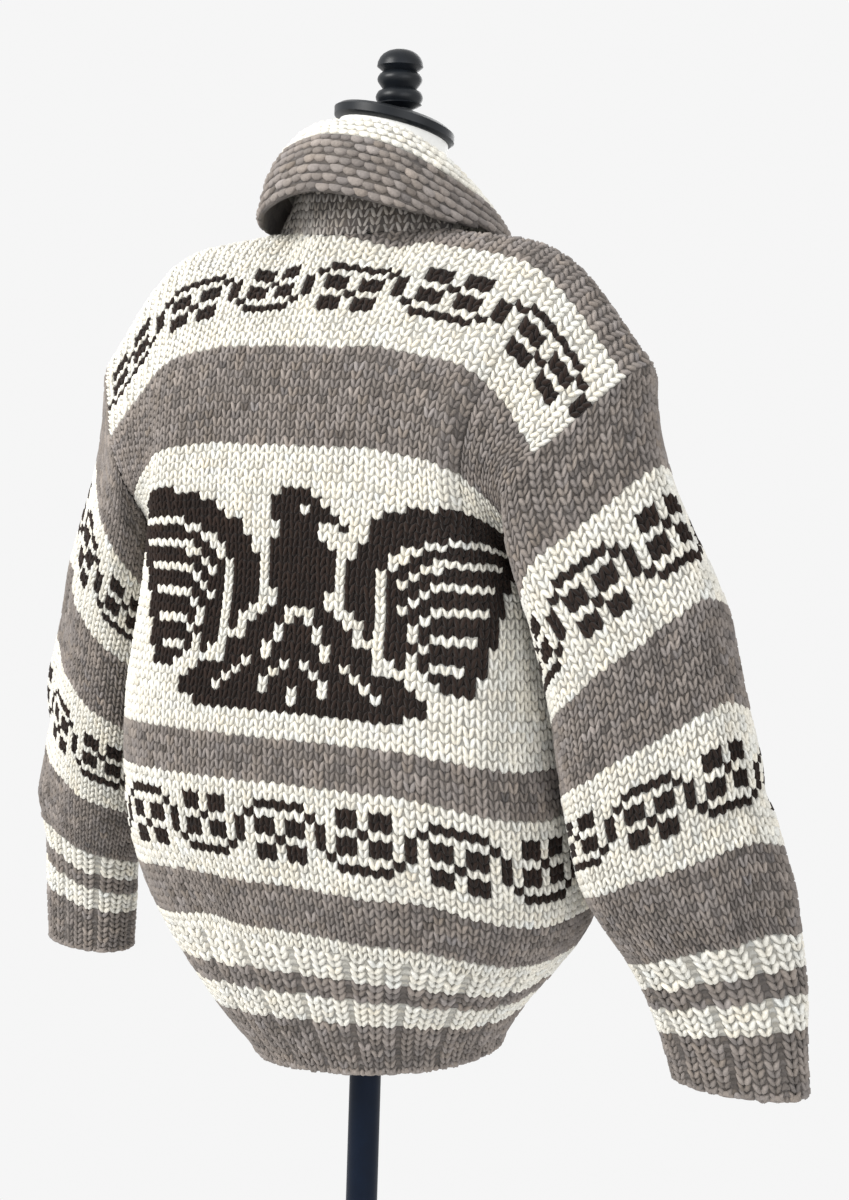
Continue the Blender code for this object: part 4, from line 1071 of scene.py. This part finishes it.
def collar_field():
    """The side of the collar that shows: up the inside of its stand, over the fold and down its fall."""
    rows = COLLAR_STAND_ROWS + COLLAR_FALL_ROWS

    def reach_at(c, r):
        stand, fall = collar_centre(round(2 * c / COLLAR_STITCHES - 1, 6))
        reach = (r - COLLAR_STAND_ROWS) * COLLAR_ROW
        return stand, fall, reach, line_length(stand), line_length(fall)

    def point_at(c, r):
        stand, fall, reach, stand_long, fall_long = reach_at(c, r)
        if reach <= 0:
            return along(stand, 1 - min(-reach / stand_long, 1.0))
        return along(fall, min(reach / fall_long, 1.0))

    sheet = Sheet(point_at, COLLAR_STITCHES, rows, judged=HIGH_ROWS, base=WALL / 2)
    cells, yarns = [], []
    for r in range(rows):
        for c in range(COLLAR_STITCHES):
            _, _, _, stand_long, fall_long = reach_at(c + 0.5, r)
            low = (r + EDGE_KEPT - COLLAR_STAND_ROWS) * COLLAR_ROW
            high = (r + 1 - EDGE_KEPT - COLLAR_STAND_ROWS) * COLLAR_ROW
            if low < fall_long and high > -stand_long:
                cells.append((c, r))
                from_fold = r - COLLAR_STAND_ROWS
                yarns.append("cream" if -COLLAR_CREAM_INSIDE <= from_fold < COLLAR_CREAM_ROWS else "grey")
    return sheet, cells, yarns


def stand_field():
    """The outer side of the collar's stand, which shows between the back and the collar's free edge."""

    def point_at(c, r):
        stand, _ = collar_centre(round(2 * c / STAND_STITCHES - 1, 6))
        return along(stand, min(r * STAND_ROW / line_length(stand), STAND_TOP))

    sheet = Sheet(point_at, STAND_STITCHES, STAND_ROWS, base=WALL / 2)
    cells = [(c, r) for r in range(STAND_ROWS) for c in range(STAND_STITCHES)]
    # The stand takes the grey lightened as painted light, against the shade that the collar casts on it.
    return sheet, cells, ["pale"] * len(cells)


def make_collar():
    sheet, cells, yarns = collar_field()
    stand_sheet, stand_cells, stand_yarns = stand_field()
    shell = backing("collar_backing", [(sheet, cells, yarns, None)], 71)
    staggered = [(min(c + 0.5 * (r % 2), COLLAR_STITCHES - 1), r) for c, r in cells]
    made = [lay_stitches("collar_stitches", sheet, PURL, staggered, yarns, None, 72)]
    made.append(lay_stitches("collar_stand_stitches", stand_sheet, KNIT, stand_cells, stand_yarns, None, 73))
    finish_cloth(shell, made, "collar")
    return shell, made


# Hard pieces

def smooth_copy(node_name, name, material, slot):
    """A CAD node's own form, welded and shaded smooth except at its sharp edges."""
    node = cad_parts[node_name]
    bm = bmesh.new()
    bm.from_mesh(node.data)
    bm.transform(node.matrix_world)
    bmesh.ops.remove_doubles(bm, verts=bm.verts[:], dist=1e-6)
    for face in bm.faces:
        face.smooth = True
    for edge in bm.edges:
        edge.smooth = edge.calc_face_angle(0.0) < math.radians(SHARP_ANGLE)
    mesh = bpy.data.meshes.new(name)
    bm.to_mesh(mesh)
    bm.free()
    made = new_object(name, mesh)
    mesh.materials.append(material)
    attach(made, BODY)
    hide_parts(node_name)


def front_line(up, x, inward):
    """A point beside the middle of the front, moved in from the cloth's outer side."""
    side = 1 if x >= 0 else -1
    base = body_bare("front", NEAR_MIDDLE, up)
    beside = (body_bare("front", side * BESIDE_ZIP, up) - base).normalized()
    n = face_normal("front", BESIDE_ZIP / 2, side, up)
    return base + beside * abs(x) - n * inward


def make_zip_teeth():
    """Two rows of small teeth that lock together along the middle of the front."""
    bm = bmesh.new()
    bmesh.ops.create_cube(bm, size=1.0)
    bmesh.ops.bevel(
        bm, geom=bm.edges[:], offset=TOOTH_BEVEL, segments=1, affect="EDGES", profile=0.5, material=-1
    )
    shape, triangles = template_from(bm)
    ups = [ZIP_START + (ZIP_STOP - ZIP_START) * k / ZIP_STEPS for k in range(ZIP_STEPS + 1)]
    path = [front_line(up, NEAR_MIDDLE, TOOTH_DEPTH) for up in ups]
    count = int(line_length(path) / TOOTH_PITCH)
    points, faces = [], []
    for k in range(count):
        centre = along(path, (k + 0.5) / count)
        onward = along(path, min((k + 1.5) / count, 1.0))
        ahead = (onward - along(path, max((k - 0.5) / count, 0.0))).normalized()
        out = Vector((1, 0, 0)).cross(ahead)
        side = 1 if k % 2 else -1
        for x, y, z in shape:
            p = centre + Vector((side * TOOTH_OFFSET + x * TOOTH_WIDTH, 0, 0))
            p += ahead * y * TOOTH_PITCH * TOOTH_FILL
            points.append(tuple(p + out * z * TOOTH_HEIGHT))
        faces.append(triangles + k * len(shape))
    made = mesh_object("zip_teeth", np.array(points), np.vstack(faces))
    made.data.materials.append(METAL)
    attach(made, BODY)
    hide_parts("zip_chain")


# Materials

def new_material(name):
    made = bpy.data.materials.new(name)
    made.use_nodes = True
    tree = made.node_tree
    return made, tree, tree.nodes["Principled BSDF"]


def set_inputs(node, values):
    for name, value in values.items():
        node.inputs[name].default_value = value


def uneven_colour(tree, noise, colour):
    """Lightens and darkens a colour by a noise. The first node's To inputs say how much."""
    shade, tinted = tree.nodes.new("ShaderNodeMapRange"), tree.nodes.new("ShaderNodeVectorMath")
    set_inputs(shade, {"From Min": 0.3, "From Max": 0.7})
    tree.links.new(noise.outputs["Fac"], shade.inputs["Value"])
    tinted.operation = "SCALE"
    tree.links.new(colour, tinted.inputs[0])
    tree.links.new(shade.outputs["Result"], tinted.inputs["Scale"])
    return shade, tinted


def add_bump(tree, height, shader, strength, distance):
    lift = tree.nodes.new("ShaderNodeBump")
    set_inputs(lift, {"Strength": strength, "Distance": distance})
    tree.links.new(height, lift.inputs["Height"])
    tree.links.new(lift.outputs["Normal"], shader.inputs["Normal"])


def grain_group():
    """Fine uneven colour and height, for any surface."""
    group = bpy.data.node_groups.new("fine grain", "ShaderNodeTree")
    for name, kind, value in (("Scale", "NodeSocketFloat", 40.0), ("Amount", "NodeSocketFloat", 0.1)):
        group.interface.new_socket(name, in_out="INPUT", socket_type=kind).default_value = value
    group.interface.new_socket("Colour", in_out="INPUT", socket_type="NodeSocketColor")
    group.interface.new_socket("Colour", in_out="OUTPUT", socket_type="NodeSocketColor")
    group.interface.new_socket("Height", in_out="OUTPUT", socket_type="NodeSocketFloat")
    nodes, links = group.nodes, group.links
    given, result = nodes.new("NodeGroupInput"), nodes.new("NodeGroupOutput")
    place, noise = nodes.new("ShaderNodeTexCoord"), nodes.new("ShaderNodeTexNoise")
    noise.inputs["Detail"].default_value = 6.0
    links.new(place.outputs["Object"], noise.inputs["Vector"])
    links.new(given.outputs["Scale"], noise.inputs["Scale"])
    shade, tinted = uneven_colour(group, noise, given.outputs["Colour"])
    low, high = nodes.new("ShaderNodeMath"), nodes.new("ShaderNodeMath")
    low.operation, high.operation = "SUBTRACT", "ADD"
    for node in (low, high):
        node.inputs[0].default_value = 1.0
        links.new(given.outputs["Amount"], node.inputs[1])
    links.new(low.outputs[0], shade.inputs["To Min"])
    links.new(high.outputs[0], shade.inputs["To Max"])
    links.new(tinted.outputs["Vector"], result.inputs["Colour"])
    links.new(noise.outputs["Fac"], result.inputs["Height"])
    return group


def plain_material(name, colour, roughness, scale, amount, bump, metallic=0.0, specular=0.5):
    made, tree, shader = new_material(name)
    grain = tree.nodes.new("ShaderNodeGroup")
    grain.node_tree = GRAIN
    set_inputs(grain, {"Scale": scale, "Amount": amount, "Colour": (*colour, 1.0)})
    tree.links.new(grain.outputs["Colour"], shader.inputs["Base Color"])
    add_bump(tree, grain.outputs["Height"], shader, bump, GRAIN_HEIGHT)
    set_inputs(shader, {"Roughness": roughness, "Metallic": metallic, "Specular IOR Level": specular})
    return made


def wool_material():
    """Thick single-ply wool: each stitch's own colour, heathered, with fine fibres and a soft edge."""
    made, tree, shader = new_material("undyed wool")
    nodes, links = tree.nodes, tree.links
    yarn = nodes.new("ShaderNodeAttribute")
    yarn.attribute_name = "wool"
    place = nodes.new("ShaderNodeTexCoord")
    heather, fibre = nodes.new("ShaderNodeTexNoise"), nodes.new("ShaderNodeTexNoise")
    set_inputs(heather, {"Scale": 420.0, "Detail": 4.0, "Roughness": 0.7})
    set_inputs(fibre, {"Scale": 1500.0, "Detail": 3.0})
    for noise in (heather, fibre):
        links.new(place.outputs["Object"], noise.inputs["Vector"])
    shade, tinted = uneven_colour(tree, heather, yarn.outputs["Color"])
    set_inputs(shade, {"To Min": 0.80, "To Max": 1.20})
    links.new(tinted.outputs["Vector"], shader.inputs["Base Color"])
    add_bump(tree, fibre.outputs["Fac"], shader, FIBRE_BUMP, FIBRE_HEIGHT)
    set_inputs(shader, {"Roughness": 0.95, "Specular IOR Level": 0.15})
    set_inputs(shader, {"Sheen Weight": 0.08, "Sheen Roughness": 0.6})
    return made


# Studio

def add_light(name, place, size, energy, colour=(1.0, 1.0, 1.0)):
    """A round soft light that looks at the middle of the object."""
    data = bpy.data.lights.new(name, "AREA")
    data.shape = "DISK"
    data.size = size
    data.energy = energy
    data.color = colour
    made = new_object(name, data)
    made.location = place
    made.rotation_euler = (Vector(MIDDLE) - Vector(place)).to_track_quat("-Z", "Y").to_euler()


def make_studio():
    bm = bmesh.new()
    bmesh.ops.create_circle(bm, cap_ends=True, segments=96, radius=FLOOR_RADIUS)
    mesh = bpy.data.meshes.new("floor")
    bm.to_mesh(mesh)
    bm.free()
    floor = new_object("floor", mesh)
    pale = plain_material("pale floor", (0.86, 0.86, 0.86), roughness=0.8, scale=12.0, amount=0.01, bump=0.05)
    mesh.materials.append(pale)
    world = bpy.data.worlds.new("pale studio")
    world.use_nodes = True
    world.node_tree.nodes["Background"].inputs["Color"].default_value = (*WORLD_COLOUR, 1.0)
    world.node_tree.nodes["Background"].inputs["Strength"].default_value = WORLD_STRENGTH
    bpy.context.scene.world = world
    add_light("window", KEY_PLACE, KEY_SIZE, KEY_ENERGY, (1.0, 0.99, 0.97))
    add_light("fill", FILL_PLACE, FILL_SIZE, FILL_ENERGY, (0.97, 0.98, 1.0))
    add_light("front_fill", FRONT_PLACE, FILL_SIZE, FILL_ENERGY)


def make_camera():
    """The photograph's own view: from behind the wearer's right shoulder, level, with a slight lean."""
    a = math.radians(CAMERA_AZIMUTH)
    ahead = Vector((-math.sin(a), math.cos(a), 0.0))
    right = ahead.cross(Vector((0, 0, 1)))
    data = bpy.data.cameras.new("camera")
    data.sensor_fit = "VERTICAL"
    data.sensor_height = SENSOR_HEIGHT
    data.lens = FOCAL_PIXELS / PHOTO_HEIGHT * SENSOR_HEIGHT
    data.shift_x = (PHOTO_WIDTH / 2 - PRINCIPAL_X) / PHOTO_HEIGHT
    data.shift_y = (PRINCIPAL_Y - PHOTO_HEIGHT / 2) / PHOTO_HEIGHT
    made = new_object("camera", data)
    turn = Matrix((right, Vector((0, 0, 1)), -ahead)).transposed().to_4x4()
    place = Vector((math.sin(a), -math.cos(a), 0.0)) * CAMERA_DISTANCE + Vector((0, 0, CAMERA_HEIGHT))
    made.matrix_world = Matrix.Translation(place) @ turn @ Matrix.Rotation(math.radians(CAMERA_ROLL), 4, "Z")
    bpy.context.scene.camera = made


GRAIN = grain_group()
WOOL = wool_material()
FORM_SKIN = plain_material(
    "white form skin", (0.80, 0.80, 0.78), roughness=0.5, scale=30.0, amount=0.02, bump=0.1
)
BLACK_WOOD = plain_material(
    "black turned wood", (0.006, 0.008, 0.011),
    roughness=0.38, scale=60.0, amount=0.25, bump=0.15, specular=0.3,
)
NAVY_STEEL = plain_material(
    "dark navy painted steel", (0.002, 0.006, 0.016),
    roughness=0.45, scale=80.0, amount=0.1, bump=0.1, specular=0.12,
)
METAL = plain_material(
    "worn zip metal", (0.42, 0.40, 0.37), roughness=0.34, scale=400.0, amount=0.12, bump=0.15, metallic=1.0
)
TAPE = plain_material(
    "grey woven tape", (0.16, 0.145, 0.13), roughness=0.92, scale=900.0, amount=0.30, bump=0.6
)

PANELS = (
    # name, fields, seed of its random draws, and its cut in metres with the share that is filled
    ("back", back_fields(), 11, 0.62, 0.72, 0.90),
    ("front_left", front_fields(1), 21, 0.31, 0.72, 0.85),
    ("front_right", front_fields(-1), 31, 0.31, 0.72, 0.85),
    ("sleeve_left", sleeve_fields(1), 41, 0.46, 0.56, 0.85),
    ("sleeve_right", sleeve_fields(-1), 51, 0.46, 0.56, 0.85),
)
for name, fields, seed, width, length, filled in PANELS:
    declare_cloth(*clothe(name, fields, seed), width, length, filled)
declare_cloth(*make_collar(), width=0.70, length=0.17, filled=0.73)

HARD_PIECES = (
    # node, piece, material, slot
    ("form_torso", "form_skin_torso", FORM_SKIN, "form_skin"),
    ("neck_cap", "neck_cap_smooth", BLACK_WOOD, "black_wood"),
    ("finial", "finial_smooth", BLACK_WOOD, "black_wood"),
    ("pole", "pole_smooth", NAVY_STEEL, "navy_steel"),
    ("base", "base_smooth", NAVY_STEEL, "navy_steel"),
)
for hard_piece in HARD_PIECES:
    smooth_copy(*hard_piece)
make_zip_teeth()
ZIP_LOOKS = {
    "zip_tape_left": TAPE,
    "zip_tape_right": TAPE,
    "zip_end": METAL,
    "zip_slider": METAL,
    "zip_pull": METAL,
}
for node_name, look in ZIP_LOOKS.items():
    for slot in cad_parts[node_name].material_slots:
        slot.material = look

make_studio()
make_camera()
bpy.context.scene.view_settings.view_transform = "Standard"
